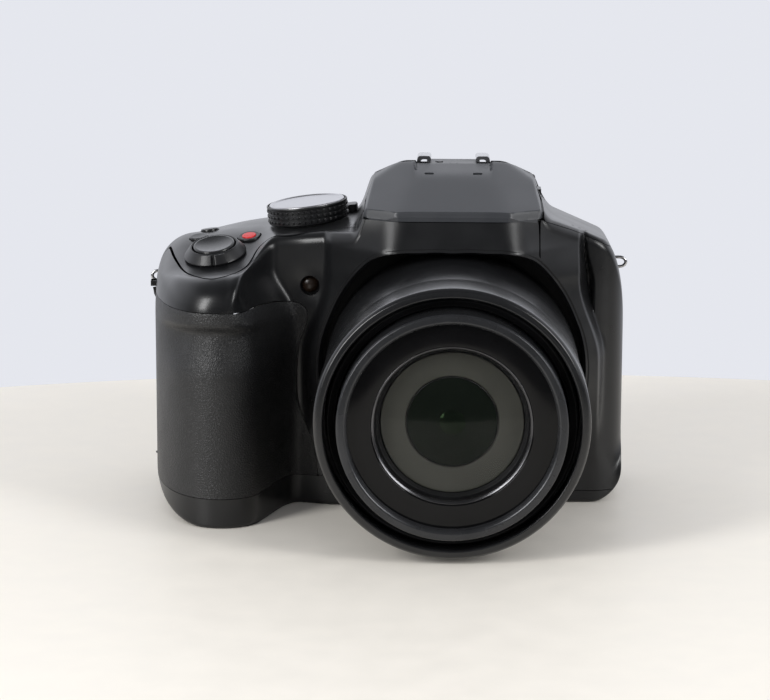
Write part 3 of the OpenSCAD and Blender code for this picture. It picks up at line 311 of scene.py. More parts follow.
NOSE_X, NOSE_ROUND, FLANK_SLOPE, GRIP_FLAT, GRIP_LEAN = -62.3, 10.5, 3.0, 22.5, 6.0
LEAN_X, LEAN_Z, GRIP_EDGE_X, GRIP_ROUND_Y, GRIP_ROUND_Z = (-60, -54), (53, 67), (-54, -61), 6, 5.5
LAMP, LAMP_DISH, LAMP_SPREAD = (-39.3, 62.0), 0.9, 16.0
HUMP_REAR_FALL, SHOULDER_REAR_FALL, SHOULDER_REAR_Y, DECK_REAR_FALL = 0.18, 0.08, 20.0, 0.15
CORNER_X, CORNER_FALL = -58.0, 0.13
LENS_Z, HOOD_FRONT, HOOD_Z, HOOD_HALF, HOOD_LEAN = 37.5, 36.0, 74.4, 17.6, 0.5
RIDGE_LEFT, RIDGE_RIGHT, RIDGE_SWELL, RIDGE_FRONT, DIAL_X = 33.9, 34.8, 5.6, 22.0, -40.3
VALLEY_X, VALLEY_DEPTH, VALLEY_SHIFT = 39.1, 2.4, 2.1
VALLEY_SHIFT_Z, VALLEY_START_Z, VALLEY_END_Z, VALLEY_IN_X = (62, 73), (49, 58), (78, 68), (20, 30)
RIDGE_FALL, RIDGE_FALL_Z, SWELL_Z, HOOD_FOOT, HOOD_FOOT_Z = 3.5, (66, 77), (65, 42), 14, (38, 6)
LID_Z, LID_GAP = 82.5, 0.3


def rounded_max(a, b, k):
    """The larger of a and b, with a round of width k where they meet."""
    return np.maximum(a, b) + np.maximum(k - abs(a - b), 0) ** 2 / (4 * k)


def rounded_min(a, b, k):
    """The smaller of a and b, with a round of width k where they meet."""
    return -rounded_max(-a, -b, k)


def ramp(a, b, t):
    """Smooth step from 0 at a to 1 at b."""
    u = np.clip((t - a) / (b - a), 0, 1)
    return u * u * (3 - 2 * u)


def quarter(u, p):
    """Quarter of a rounded corner of power p, from 1 at u = 0 to 0 at u = 1."""
    return np.maximum(1 - np.minimum(abs(u), 1) ** p, 0) ** (1 / p)


def drop(e, r):
    """Fall of a round of radius r, at a distance e past its start."""
    return r - np.sqrt(np.maximum(r * r - np.clip(e, 0, r) ** 2, 0))


# %% Front, rear, floor and roof
def grip_depth(x, z):
    """Front of the grip: a squarish curve outside its nose; inside it an arc and a leaning flank."""
    x = x + GRIP_LEAN * ramp(*LEAN_Z, z) * ramp(*LEAN_X, x)
    out = np.clip((NOSE_X - x) / (NOSE_X - LEFT), 0, 1)
    outer = SIDE_Y + (GRIP_FRONT - SIDE_Y) * np.sqrt(1 - out ** 2.2)
    t = np.maximum(x - NOSE_X, 0)
    end = NOSE_ROUND * FLANK_SLOPE / np.hypot(1, FLANK_SLOPE)
    arc = NOSE_ROUND - np.sqrt(NOSE_ROUND ** 2 - np.minimum(t, end) ** 2)
    return np.where(x < NOSE_X, outer, GRIP_FRONT - arc - FLANK_SLOPE * np.maximum(t - end, 0))


def panel_depth(x, z):
    """Front of the panels: the left one leans out to the hood, and a valley parts the right one from it."""
    flat = PANEL_LEFT + rounded_min(0.28 * rounded_max(x + 43.5, 0, 3), PANEL_LEAN, 1)
    flat = flat + (PANEL_RIGHT - PANEL_LEFT - PANEL_LEAN) * ramp(8, 30, x)
    lamp_dish = LAMP_DISH * np.exp(-((x - LAMP[0]) ** 2 + (z - LAMP[1]) ** 2) / LAMP_SPREAD)
    brink = VALLEY_X - VALLEY_SHIFT * ramp(*VALLEY_SHIFT_Z, z)
    valley = VALLEY_DEPTH * ramp(brink + 0.3, brink - 1.3, x)
    valley = valley * ramp(*VALLEY_START_Z, z) * ramp(*VALLEY_END_Z, z) * ramp(*VALLEY_IN_X, x)
    flat = flat - lamp_dish - valley
    return flat * ramp(GRIP_X, GRIP_X + 8, x) - drop(x - (RIGHT - END_ROUND), END_ROUND)


def hood_depth(x, z):
    """Front of the hood: a crown that leans back above its lip, with flanks that fall to a ridge line."""
    crown = HOOD_FRONT - HOOD_LEAN * np.maximum(z - HOOD_Z, 0)
    edge = np.where(x > 0, RIDGE_RIGHT, RIDGE_LEFT) + RIDGE_SWELL * ramp(*SWELL_Z, z)
    half = HOOD_HALF - 0.3 * np.clip(z - HOOD_Z, 0, 8)
    ridge = RIDGE_FRONT - np.where(x > 0, RIDGE_FALL, 0.0) * ramp(*RIDGE_FALL_Z, z)
    along = rounded_max(abs(x) - half, 0, 3.6) / (edge - half)
    flank = crown - (crown - ridge) * along
    wall = ridge - np.where(x > 0, 4.0, 3.0) * (abs(x) - edge)
    low = ramp(*HOOD_FOOT_Z, z)
    return rounded_min(flank, wall, 1.6) * (1 - low) + HOOD_FOOT * low


def depth(x, z):
    """Front of the whole body: the rounded maximum of the grip, the panels and the hood."""
    return rounded_max(rounded_max(grip_depth(x, z), panel_depth(x, z), 10), hood_depth(x, z), 2.4)


def rear(x):
    """Rear face, rounded away at both ends."""
    left = -SIDE_Y + (BACK + SIDE_Y) * quarter((GRIP_X - x) / (GRIP_X - LEFT), 4)
    return np.where(x < GRIP_X, left, BACK - drop(x - (RIGHT - END_ROUND), END_ROUND))


def floor_at(x):
    """Underside, rounded up at both ends."""
    left = drop(LEFT + BASE_LEFT_ROUND - x, BASE_LEFT_ROUND) * BASE_LEFT_RISE / BASE_LEFT_ROUND
    return left + drop(x - (RIGHT - BASE_END_ROUND), BASE_END_ROUND)


def deck(x, y):
    """Top deck that falls to the left and over the grip, and the right shoulder."""
    over_grip = rounded_min(rounded_max(-y - 2, 0, 6), GRIP_FLAT, 5) * ramp(-48, -56, x)
    left = DECK_Z + DECK_FALL * (x - DIAL_X) - GRIP_FALL * over_grip
    left = left - DECK_REAR_FALL * rounded_max(y - 14, 0, 4)
    left = left - CORNER_FALL * rounded_max(CORNER_X - x, 0, 6) * ramp(2, 17, y)
    right = np.minimum(SHOULDER_Z - SHOULDER_FALL * (x - SHOULDER_X), SHOULDER_Z + 3)
    right = right - SHOULDER_REAR_FALL * rounded_max(y + SHOULDER_REAR_Y, 0, 6)
    return np.where(x < 0, left, right)


def hump(x, y):
    """Hump over the lens: a top that falls to the rear, two falling facets and two steep walls."""
    facet = HUMP_Z - HUMP_SIDE_FALL * rounded_max(abs(x) - HUMP_TOP, 0, 1.5)
    facet = facet - HUMP_REAR_FALL * rounded_max(y, 0, 3)
    brow = HUMP_Z - HUMP_SIDE_FALL * (HUMP_HALF - HUMP_TOP)
    return rounded_min(facet, brow - HUMP_WALL_FALL * (abs(x) - HUMP_HALF), 1.5)


def roof(x, y):
    """Top of the whole body, rounded down at both ends."""
    left_end = drop(LEFT + TOP_LEFT_ROUND - x, TOP_LEFT_ROUND)
    right_end = drop(x - (RIGHT - TOP_RIGHT_ROUND), TOP_RIGHT_ROUND) * TOP_RIGHT_FALL / TOP_RIGHT_ROUND
    return rounded_max(deck(x, y), hump(x, y), np.where(x > 0, 7.0, 4.0)) - left_end - right_end


# %% [markdown]
# The skin of the body is a grid. One direction goes along the body, and the other goes round it: up the
# front, over the roof, down the back and along the floor, with a quarter ellipse at each corner. The
# right end is closed by shrinking the last ring on to a line.


# %% Skin of the body
EDGE_ROUND, TURN_RIGHT_X = 3.0, 41.5


def rings(x, front=120, bend=10, top=60, back=48, under=20):
    """Closed rings of the outer form, one for each x; each is a chain of walls and quarter ellipses."""
    x = x[:, None]
    low, behind = floor_at(x), rear(x)
    thick = depth(x, LENS_Z) + behind
    in_grip = ramp(*GRIP_EDGE_X, x)
    r_base, r_rear = np.minimum(BASE_ROUND, 0.3 * thick), np.minimum(REAR_ROUND, 0.3 * thick)
    r_y = np.minimum(EDGE_ROUND + GRIP_ROUND_Y * in_grip, 0.42 * thick)
    r_z = EDGE_ROUND + GRIP_ROUND_Z * in_grip
    wall_top = roof(x, -depth(x, DECK_Z - r_z)) - r_z
    front_top, front_low = depth(x, wall_top), depth(x, low + r_base)
    roof_a, roof_b = r_y - front_top, behind - r_rear
    back_top = roof(x, roof_b) - r_rear
    t = np.linspace(0, np.pi / 2, bend, endpoint=False)[None, :]
    s = [np.linspace(0, 1, n, endpoint=False)[None, :] for n in (front, top, back, under)]
    wall_z = low + r_base + (wall_top - low - r_base) * s[0]
    round_y = r_y * (1 - np.cos(t)) - front_top
    roof_y = roof_a + (roof_b - roof_a) * s[1]
    y = [r_base * (1 - np.sin(t)) - front_low, -depth(x, wall_z), round_y, roof_y,
         roof_b + r_rear * np.sin(t), behind + 0 * s[2], behind - r_base * (1 - np.cos(t)),
         behind - r_base + (r_base - front_low - behind + r_base) * s[3]]
    z = [low + r_base * (1 - np.cos(t)), wall_z, roof(x, round_y) - r_z * (1 - np.sin(t)), roof(x, roof_y),
         back_top + r_rear * np.cos(t), back_top + (low + r_base - back_top) * s[2],
         low + r_base * (1 - np.sin(t)), low + 0 * s[3]]
    y, z = np.concatenate(y, 1), np.concatenate(z, 1)
    return np.stack([x + 0 * y, y, z], -1)


def stations():
    """Places of the rings: close together at the left end, at the walls of the hump and at the right end."""
    turn_left = GRIP_X - (GRIP_X - LEFT) * np.cos(np.pi / 2 * np.linspace(0, 1, 44, endpoint=False) ** 1.7)
    marks = [(GRIP_X, -27.0, 72), (-27.0, -19.0, 24), (-19.0, 19.0, 58), (19.0, 27.0, 24), (27.0, 33.5, 14),
             (33.5, TURN_RIGHT_X, 46)]
    middle = [np.linspace(a, b, n, endpoint=False) for a, b, n in marks]
    turn_right = RIGHT - (RIGHT - TURN_RIGHT_X) * np.linspace(1, 0, 20) ** 2
    return np.concatenate([turn_left, *middle, turn_right])


def closed_skin():
    """Grid of the whole outer form; its last rows shrink the end ring on to a line inside it."""
    grid = rings(stations())
    end = grid[-1]
    spine = end.copy()
    spine[:, 1] = (end[:, 1].min() + end[:, 1].max()) / 2
    spine[:, 2] = np.clip(end[:, 2], end[:, 2].min() + END_ROUND, end[:, 2].max() - END_ROUND)
    share = np.linspace(0, 1, 13)[1:, None, None]
    grid = np.concatenate([grid, end + share * (spine - end)])
    return np.concatenate([grid, grid[:, :1]], 1)


SKIN = closed_skin()
print("skin grid", SKIN.shape[:2])

# %% [markdown]
# The covers are cut out of the skin along their seams. A Boolean could do that, but it leaves slivers
# along a curved seam. Here each seam is a distance that is positive on the side to keep. Grid corners
# near the seam slide on to it, and the squares that it still crosses are cut there.


# %% Cutting a skin along a seam
def cut_out(grid, keep):
    """Points and faces of the part of a grid where keep is positive, with its edge on keep = 0."""
    n, m = keep.shape
    point, value, near = grid.copy(), keep.copy(), np.full((n, m), 0.34)
    place = np.indices((n, m))
    for axis, step in ((0, 1), (0, -1), (1, 1), (1, -1)):
        beside, other = np.roll(grid, -step, axis), np.roll(keep, -step, axis)
        inner = (place[axis] + step >= 0) & (place[axis] + step < (n, m)[axis])
        crossed = (keep * other < 0) & inner
        share = np.where(crossed, keep / np.where(crossed, keep - other, 1), 9.0)
        closer = share < near
        point = np.where(closer[..., None], grid + share[..., None] * (beside - grid), point)
        value = np.where(closer, 0.0, value)
        near = np.where(closer, share, near)
    number = np.arange(n * m).reshape(n, m)
    around = number[:-1, :-1], number[1:, :-1], number[1:, 1:], number[:-1, 1:]
    corner = np.stack([c.ravel() for c in around], 1)
    corner = corner[(value.ravel()[corner] > 0).any(1)]
    after = np.roll(corner, -1, 1)
    here, there = value.ravel()[corner], value.ravel()[after]
    crossed = here * there < 0
    low, high = np.minimum(corner, after), np.maximum(corner, after)
    share = np.where(crossed, here / np.where(crossed, here - there, 1), 0)
    share = np.where(corner < after, share, 1 - share)
    key = low * (n * m) + high
    keys, first = np.unique(key[crossed], return_index=True)
    flat = point.reshape(-1, 3)
    a, b, s = (v[crossed][first] for v in (low, high, share))
    extra = flat[a] + s[:, None] * (flat[b] - flat[a])
    ring = np.full((len(corner), 8), -1)
    ring[:, 0::2] = np.where(here >= 0, corner, -1)
    ring[:, 1::2] = np.where(crossed, n * m + np.searchsorted(keys, key), -1)
    count = (ring >= 0).sum(1)
    sizes = [k for k in range(3, 9) if (count == k).any()]
    blocks = [ring[count == k][ring[count == k] >= 0].reshape(-1, k) for k in sizes]
    used = np.unique(np.concatenate([block.ravel() for block in blocks]))
    return np.concatenate([flat, extra])[used], [np.searchsorted(used, block) for block in blocks]


def inside(outline, u, v):
    """Distance in from an outline of straight edges, negative outside it."""
    a = np.asarray(outline, float)
    b = np.roll(a, -1, 0)
    p = np.stack([u, v], -1)[..., None, :]
    along = np.clip(((p - a) * (b - a)).sum(-1) / ((b - a) ** 2).sum(-1), 0, 1)
    far = np.linalg.norm(p - a - along[..., None] * (b - a), axis=-1).min(-1)
    above = (a[:, 1] > p[..., 1]) != (b[:, 1] > p[..., 1])
    slope = (b[:, 0] - a[:, 0]) / np.where(b[:, 1] == a[:, 1], 1e-9, b[:, 1] - a[:, 1])
    crossing = above & (p[..., 0] < slope * (p[..., 1] - a[:, 1]) + a[:, 0])
    return np.where(crossing.sum(-1) % 2 == 1, far, -far)


def smooth_corners(outline):
    """Outline with each corner cut at a quarter and three quarters of its edges, three times over."""
    line = np.asarray(outline, float)
    for _ in range(3):
        after = np.roll(line, -1, 0)
        line = np.stack([0.75 * line + 0.25 * after, 0.25 * line + 0.75 * after], 1).reshape(-1, 2)
    return line


def disc(centre, r, u, v):
    """Distance in from a circle."""
    return r - np.hypot(u - centre[0], v - centre[1])


def slab(centre, half, r, u, v):
    """Distance in from a rectangle with rounded corners."""
    du, dv = abs(u - centre[0]) - half[0] + r, abs(v - centre[1]) - half[1] + r
    return r - np.hypot(np.maximum(du, 0), np.maximum(dv, 0)) - np.minimum(np.maximum(du, dv), 0)


# %% [markdown]
# The seams are drawn where the photograph shows them. The top cover has a lobe round the shutter button,
# then follows the front edge of the deck up to the flash lid. The rubber has a rounded upper corner
# beside the lens.

# %% Seams
SEAM, WIDE_SEAM, CLOSE_SEAM = 0.09, 0.3, 0.07
BASE_STEP, BASE_STEP_X, LID_CUT_HALF, RUBBER_BACK = 4.8, (-34, -16), 24.75, 5.4
top_plan = smooth_corners([
    (-200, 60), (-200, 1.0), (-79.6, 0.0), (-78.8, -4.0), (-77.4, -11.5), (-75.6, -18.3), (-73.6, -24.6),
    (-71.0, -31.0), (-68.2, -36.4), (-65.4, -39.0), (-62.6, -39.0), (-59.8, -37.4), (-57.0, -32.4),
    (-55.1, -22.8), (-53.8, -16.8), (-52.2, -15.3), (-49.8, -15.4), (-45.0, -16.6), (-40.0, -16.4),
    (-34.0, -16.2), (-23.4, -16.4), (-23.4, -4.0), (23.4, -4.0), (23.4, -60), (200, -60), (200, 60)])
x, y, z = np.moveaxis(SKIN, -1, 0)
shoulder_line = np.interp(x, [23.4, 24.6, 33.5, 43.4, 60.0], [82.5, 81.8, 77.9, 73.2, 64.2])
shoulder_line = shoulder_line - np.where(x > 24, SHOULDER_REAR_FALL * np.maximum(y + SHOULDER_REAR_Y, 0), 0)
left_line = np.interp(x, [-200, -62, -40, -24.5], [65.2, 65.2, 70.0, 72.0])
in_top = np.minimum(inside(top_plan, x, y), z - np.where(x < 24, left_line, shoulder_line))
wide_seam = np.where((x < 0) & (y < 4), WIDE_SEAM, CLOSE_SEAM)
lid_back = -0.4 + 1.8 * ramp(91.5, 89.0, z)
outside_lid = np.maximum.reduce([LID_Z - LID_GAP - z, y - lid_back, abs(x) - LID_CUT_HALF])
base_line = BASE_H - BASE_STEP * ramp(*BASE_STEP_X, x)
rubber_edge = smooth_corners([
    (-200, -50), (-200, 59.3), (-75.5, 59.4), (-65.3, 59.6), (-56.5, 59.4), (-52.6, 59.2), (-49.9, 58.6),
    (-46.7, 57.8), (-42.4, 57.2), (-39.8, 55.4), (-40.2, 51.0), (-42.4, 46.0), (-43.0, 37.0), (-42.8, 29.0),
    (-40.5, 22.5), (-37.0, 14.0), (-34.0, -50.0)])
in_rubber = np.minimum(inside(rubber_edge, x, z), RUBBER_BACK - y)
print("seams drawn, top zone", int((in_top > 0).sum()), "points")

# %% [markdown]
# The lens comes out of a recess under the hood. Seen from the front, its mouth is a circle that swells to
# a low arch at the top. So the mouth is one radius for each angle, read off a short table, and a running
# mean takes the corners out of it.

# %% Mouth of the lens recess
ARCH_ANGLE = [-10.0, 0.0, 15.5, 27.6, 36.6, 43.4, 50.5, 56.8, 62.2, 67.9, 76.0, 90.0]
ARCH_RADIUS = [36.6, 36.7, 37.4, 37.8, 38.6, 39.3, 40.2, 41.0, 40.7, 39.8, 38.1, 36.95]


def mouth_radius(angle):
    """Radius of the mouth at an angle, the same on both sides: the table, averaged over a few degrees."""
    fine = np.linspace(-np.pi, np.pi, 1440, endpoint=False)
    height = np.degrees(np.arcsin(np.sin(fine)))
    radius = np.interp(height, ARCH_ANGLE, ARCH_RADIUS)
    window = np.hanning(39)
    padded = np.concatenate([radius[-19:], radius, radius[:19]])
    return np.interp(angle, fine, np.convolve(padded, window / window.sum(), "valid"), period=2 * np.pi)


from_lens = np.hypot(x, z - LENS_Z)
outside_mouth = from_lens - mouth_radius(np.arctan2(z - LENS_Z, x))
outside_mouth = np.where(y < 0, outside_mouth, 50.0)
print("mouth reaches", round(float(mouth_radius(np.pi / 2)), 1), "mm above the axis")

# %% [markdown]
# Each cover keeps its own zone of the skin, less the holes for what sits in it. The places of those
# controls are named here, because the controls themselves are drawn further down at the same places.

# %% Covers
COVER_WALL, OUTSIDE = 1.6, -50.0
DIAL, SHUTTER, MOVIE = (DIAL_X, 1.0), (-65.4, -16.0), (-56.6, -7.0)
FUNCTION_1, FUNCTION_2 = (-68.5, 5.0), (-71.0, -3.0)
FINDER_Z, DIOPTRE, DISPLAY, PAD = 79.0, (18.0, 84.0), (1.0, 36.0), (-57.0, 36.0)
REAR_BUTTONS = {"finder": (-22, 67), "lock": (-33, 66.5), "playback": (-43.5, 55), "display": (-43.5, 17),
                "menu": (-70, 16)}
SCREWS = (24, 14), (-26, 14), (36, 2), (-34, -8)


def only(zone, gap):
    """Distance in from a gap inside its zone of the skin; elsewhere it counts as far outside."""
    return np.where(zone, gap, OUTSIDE)


def cover(node, keep, edge_mm, steps=2, grid=SKIN, finish=satin_black, slot="body_plastic", wall=COVER_WALL):
    """Cover cut out of a skin grid, with a wall on its inner side and eased edges."""
    skin = put(node + "_skin", *cut_out(grid, keep), "camera", finish, [node], slot, BODY_MIDDLE)
    return ease(thicken(skin, wall), edge_mm, steps)


socket_gap = only(x > RIGHT - 3, slab((6.6, 35.0), (8.9, 13.25), 0.6, y, z))
lamp_gap = only(y < 0, disc(LAMP, 2.75, x, z))
front_keep = np.minimum.reduce([
    -in_top - wide_seam, outside_lid, SPLIT_Y - SEAM - y, z - base_line - SEAM, outside_mouth,
    -in_rubber - SEAM, -socket_gap, -lamp_gap])
cover("front_cover", front_keep, 0.3, 3)

deck_holes = [(DIAL, 3.4), (SHUTTER, 7.3), (MOVIE, 3.45), (FUNCTION_1, 2.75), (FUNCTION_2, 2.75)]
power_slot = slab((-28.8, 13.5), (1.5, 4.8), 0.5, x, y)
deck_gap = only(z > 60, np.maximum.reduce([disc(c, r, x, y) for c, r in deck_holes] + [power_slot]))
shoe_gap = only(z > 88, slab((0, 10.6), (10.55, 10.7), 0.3, x, y))
eye_gap = only(y > 20, slab((0, FINDER_Z), (11.0, 6.0), 3.0, x, z))
switch_slot = slab((9.5, 84.0), (3.8, 1.5), 0.3, y, z)
side_gap = only((x > 15) & (z > 78), np.maximum(disc(DIOPTRE, 3.8, y, z), switch_slot))
top_keep = np.minimum.reduce([in_top - wide_seam, outside_lid, -deck_gap, -shoe_gap, -eye_gap, -side_gap])
cover("top_cover", top_keep, 0.2)

wheel_slot = slab((-54, 61.75), (7.0, 2.55), 0.4, x, z)
rear_holes = [disc(PAD, 11.1, x, z), slab(DISPLAY, (36.3, 26.3), 2.2, x, z), wheel_slot]
rear_gap = np.maximum.reduce([disc(c, 2.8, x, z) for c in REAR_BUTTONS.values()] + rear_holes)
rear_keep = np.minimum.reduce([
    -in_top - wide_seam, y - SPLIT_Y - SEAM, z - base_line - SEAM, -only(y > 15, rear_gap), -socket_gap])
cover("rear_cover", rear_keep, 0.16)

base_holes = [disc((0, 0), 5.5, x, y), slab((-65.05, -12), (10.5, 18.3), 0.4, x, y)]
base_gap = np.maximum.reduce(base_holes + [disc(c, 1.8, x, y) for c in SCREWS])
base_keep = np.minimum(base_line - SEAM - z, -only(z < 4, base_gap))
cover("base_cover", base_keep, 0.16)

# %% [markdown]
# The rubber lies flush in its pocket. Its edge rolls in a little at the seam, and under the shutter the
# middle finger has a ledge: a step that falls back at once and comes forward again slowly.


# %% Grip rubber
LEDGE_Z, LEDGE_DEPTH, LEDGE_STEP, LEDGE_END = 56.4, 2.2, 3.0, 15.0
ROLL_DEPTH, ROLL_WIDTH, RUBBER_PROUD, RUBBER_WALL = 0.28, 0.35, 0.06, 0.9


def outward(grid):
    """Unit normals of the skin grid, from the cross product of its two directions."""
    normal = np.cross(np.gradient(grid, axis=0), np.gradient(grid, axis=1))
    normal = normal / np.maximum(np.linalg.norm(normal, axis=-1, keepdims=True), 1e-9)
    return normal * np.sign((normal * (grid - BODY_MIDDLE)).sum(-1).mean())


below = LEDGE_Z - 0.05 * abs(x + 64) - z
ledge = -LEDGE_DEPTH * ramp(0, LEDGE_STEP, below) * (1 - ramp(LEDGE_STEP, LEDGE_END, below))
ledge = ledge * ramp(-81, -73, x) * ramp(-47, -57, x) * ramp(-8, -20, y)
rolled = -ROLL_DEPTH * np.exp(-np.maximum(in_rubber, 0) / ROLL_WIDTH)
rubber_grid = SKIN + outward(SKIN) * (ledge + rolled + RUBBER_PROUD)[..., None]
rubber_keep = np.minimum(in_rubber, z - base_line) - SEAM
cover("grip_rubber", rubber_keep, 0.12, 2, rubber_grid, grip_leather, "grip_rubber", RUBBER_WALL)

# %% [markdown]
# Inside the mouth a wall runs back to a flat floor, and the lens sits on that floor. The wall is one grid
# round the lens axis: its rows go from the lip back to the floor, and then in to the seat of the barrel.


# %% Lens recess
SEAT_DEPTH, SEAT_R = 19.0, 35.5


def recess_rows(turns=288):
    """Rows round the axis: the wall from just behind the lip to the floor, the floor, and the lens seat."""
    angle = np.linspace(0, 2 * np.pi, turns, endpoint=False)
    c, s = np.cos(angle), np.sin(angle)
    radius = mouth_radius(np.where(angle > np.pi, angle - 2 * np.pi, angle)) + 0.12
    lip = depth(radius * c, LENS_Z + radius * s)
    floor_depth = np.minimum(SEAT_DEPTH, lip)
    rows = [(radius, floor_depth + (lip - floor_depth - 0.25) * k) for k in (1.0, 0.75, 0.5, 0.25, 0.0)]
    near = np.minimum(SEAT_DEPTH, depth(SEAT_R * c, LENS_Z + SEAT_R * s))
    rows += [(SEAT_R + (radius - SEAT_R) * k, near + (floor_depth - near) * k) for k in (0.66, 0.33, 0.0)]
    rows += [(35.4 + 0 * c, 19.1 + 0 * c), (30.6 + 0 * c, 19.1 + 0 * c)]
    return np.stack([np.stack([r * c, -d, LENS_Z + r * s], -1) for r, d in rows])


recess = recess_rows()
lens_recess = put_rings("lens_recess", recess, "camera", deep_black, ["front_cover"], "body_plastic",
                        (0, 40, LENS_Z))
thicken(lens_recess, 0.8)

# %% [markdown]
# The flash lid is a cap of flat planes that meet in soft creases: a shallow channel at the rear, a sloping
# front, two side facets, two steep walls and a lip that folds down. A soft minimum of the planes gives the
# creases. The grid runs from a middle point out to the lower edge, so the edge is a grid line.


# %% Flash lid
LID_MIDDLE, CUT_X, CUT_Y = np.array([0, -13.0]), 0.516, 0.857
HINGE_Z, HINGE_R, HINGE_Y, CHANNEL_HALF, CREASE = 90.7, 3.6, -2.2, 10.4, 4.0


def lid_planes(px, py):
    """Height of the lid: the soft minimum of its planes, with a round of about half a millimetre."""
    forward, side = -py, abs(px)
    hinge = HINGE_Z + np.sqrt(np.maximum(HINGE_R ** 2 - np.maximum(py - HINGE_Y, 0) ** 2, 0))
    channel = 93.6 - 0.163 * forward + 3.0 * np.maximum(side - CHANNEL_HALF, 0)
    front = 95.27 - 0.331 * forward
    facet = 92.0 - 0.1815 * (side - CHANNEL_HALF) - 0.2953 * (forward - 10)
    brow = 94.5 - 0.5 * (side - 14) + 0 * forward
    wall = 90.9 - 3.1 * (side - 21.9) + 0 * forward
    lip = 84.6 - 8.0 * (forward - 31.2)
    corner = 84.4 - 6.0 * (CUT_X * side + CUT_Y * forward - 34.7)
    planes = [channel, front, facet, brow, wall, lip, corner, hinge]
    return -np.log(np.sum([np.exp(-CREASE * (p - 80)) for p in planes], 0)) / CREASE + 80


def lid_outline(count):
    """Lower edge of the lid in plan, evenly spaced: straight sides, a front edge and two cut corners."""
    left = np.array([(-24.3, 1.2), (-24.3, -24.6), (-23.4, -26.8), (-16.6, -31.0), (-15.0, -31.5)])
    line = np.concatenate([left, left[::-1] * [-1, 1], left[:1]])
    run = np.concatenate([[0], np.cumsum(np.linalg.norm(np.diff(line, axis=0), axis=1))])
    place = np.linspace(0, run[-1], count, endpoint=False)
    return np.stack([np.interp(place, run, line[:, 0]), np.interp(place, run, line[:, 1])], 1)


edge_line = lid_outline(300)
share = 1 - (1 - np.linspace(0.0, 1.0, 72)) ** 1.6
lid_xy = LID_MIDDLE + share[:, None, None] * (edge_line - LID_MIDDLE)
lid_low = LID_Z + 1.0 * ramp(18.5, 15.0, abs(lid_xy[..., 0])) * ramp(-26, -29, lid_xy[..., 1])
lid_height = np.maximum(lid_planes(lid_xy[..., 0], lid_xy[..., 1]), lid_low)
lid_grid = np.concatenate([lid_xy, lid_height[..., None]], -1)
skirt = lid_grid[-1:].copy()
skirt[..., 2] = lid_low[-1:]
lid_grid = np.concatenate([lid_grid, skirt])
lid_grid = np.concatenate([lid_grid, lid_grid[:, :1]], 1)
arm_slots = slab((6.7, -9.3), (1.3, 0.7), 0.2, abs(lid_grid[..., 0]), lid_grid[..., 1])
flash_lid = put("flash_lid_cap", *cut_out(lid_grid, -arm_slots), "flash", lid_grey, ["flash_lid"],
                "lid_plastic", (0, -13, 80))
ease(thicken(flash_lid, 1.2), 0.15)

# %% [markdown]
# Under the lid is the flash well: a flat ledge that the lid closes on, and a box that the flash head sinks
# into. It is one grid again, from the ledge's outer edge in to the well, down its wall and over its floor.


# %% Flash well
def round_box(half_x, half_y, count):
    """Points of a superellipse of power 7, a rectangle with rounded corners."""
    t = np.linspace(0, 2 * np.pi, count, endpoint=False)
    power = 2.0 / 7.0
    c, s = np.cos(t), np.sin(t)
    return np.stack([half_x * np.sign(c) * abs(c) ** power, half_y * np.sign(s) * abs(s) ** power], 1)


WELL_MIDDLE, WELL_TOP, WELL_FLOOR, WELL_TURNS = np.array([0, -15.2]), 82.05, 75.4, 240
well_edge = WELL_MIDDLE + round_box(18.9, 12.2, WELL_TURNS)
ledge_edge = np.array([0, -15.0]) + round_box(24.0, 15.6, WELL_TURNS)
past_corner = np.maximum(CUT_X * abs(ledge_edge[:, 0]) - CUT_Y * ledge_edge[:, 1] - 33.6, 0)
ledge_side = np.sign(ledge_edge[:, 0])
ledge_edge = ledge_edge - past_corner[:, None] * np.stack([CUT_X * ledge_side, 0 * ledge_side - CUT_Y], 1)
well_rows = [
    (ledge_edge, WELL_TOP), (0.5 * ledge_edge + 0.5 * well_edge, WELL_TOP), (well_edge, WELL_TOP),
    (well_edge, 80.0), (well_edge, WELL_FLOOR), (0.5 * well_edge + 0.5 * WELL_MIDDLE, WELL_FLOOR),
    (0 * well_edge + WELL_MIDDLE, WELL_FLOOR)]
well = np.stack([np.concatenate([p, np.full((WELL_TURNS, 1), h)], 1) for p, h in well_rows])
thicken(put_rings("flash_well", well, "camera", deep_black, ["top_cover"], "dark_plastic", (0, -15, 40)), 0.8)

# %% [markdown]
# Everything on the lens is round, so it is turned: a profile of radius and place along the axis is carried
# round a full circle. The corners of each profile are rounded first, because a real turned edge always
# carries a thin line of light.


# %% Turning helpers
def soften(corners, r, steps=4):
    """Profile with each inner corner replaced by a short quadratic curve between its two edges."""
    p = np.asarray(corners, float)
    out = [p[:1]]
    for before, at, after in zip(p[:-2], p[1:-1], p[2:]):
        reach = [min(r, 0.45 * np.linalg.norm(q - at)) for q in (before, after)]
        a = at + (before - at) * reach[0] / max(np.linalg.norm(before - at), 1e-9)
        b = at + (after - at) * reach[1] / max(np.linalg.norm(after - at), 1e-9)
        t = np.linspace(0, 1, steps)[:, None]
        out.append((1 - t) ** 2 * a + 2 * t * (1 - t) * at + t ** 2 * b)
    return np.concatenate([*out, p[-1:]])


def turned(profile, origin, frame_axes, turns=160):
    """Profile of (radius, height) carried round the third axis of a local frame."""
    angle = np.linspace(0, 2 * np.pi, turns, endpoint=False)
    r, h = profile[:, :1], profile[:, 1:]
    local = np.stack([r * np.cos(angle), r * np.sin(angle), h + 0 * angle], -1)
    return local @ np.asarray(frame_axes).T + origin


def put_turned(name, profile, place, body, finish, stands_for=(), slot=None, turns=160):
    """Closed turned piece; its profile starts and ends on the axis or comes back to its start."""
    return put_rings(name, turned(np.asarray(profile, float), *place, turns), body, finish, stands_for, slot)


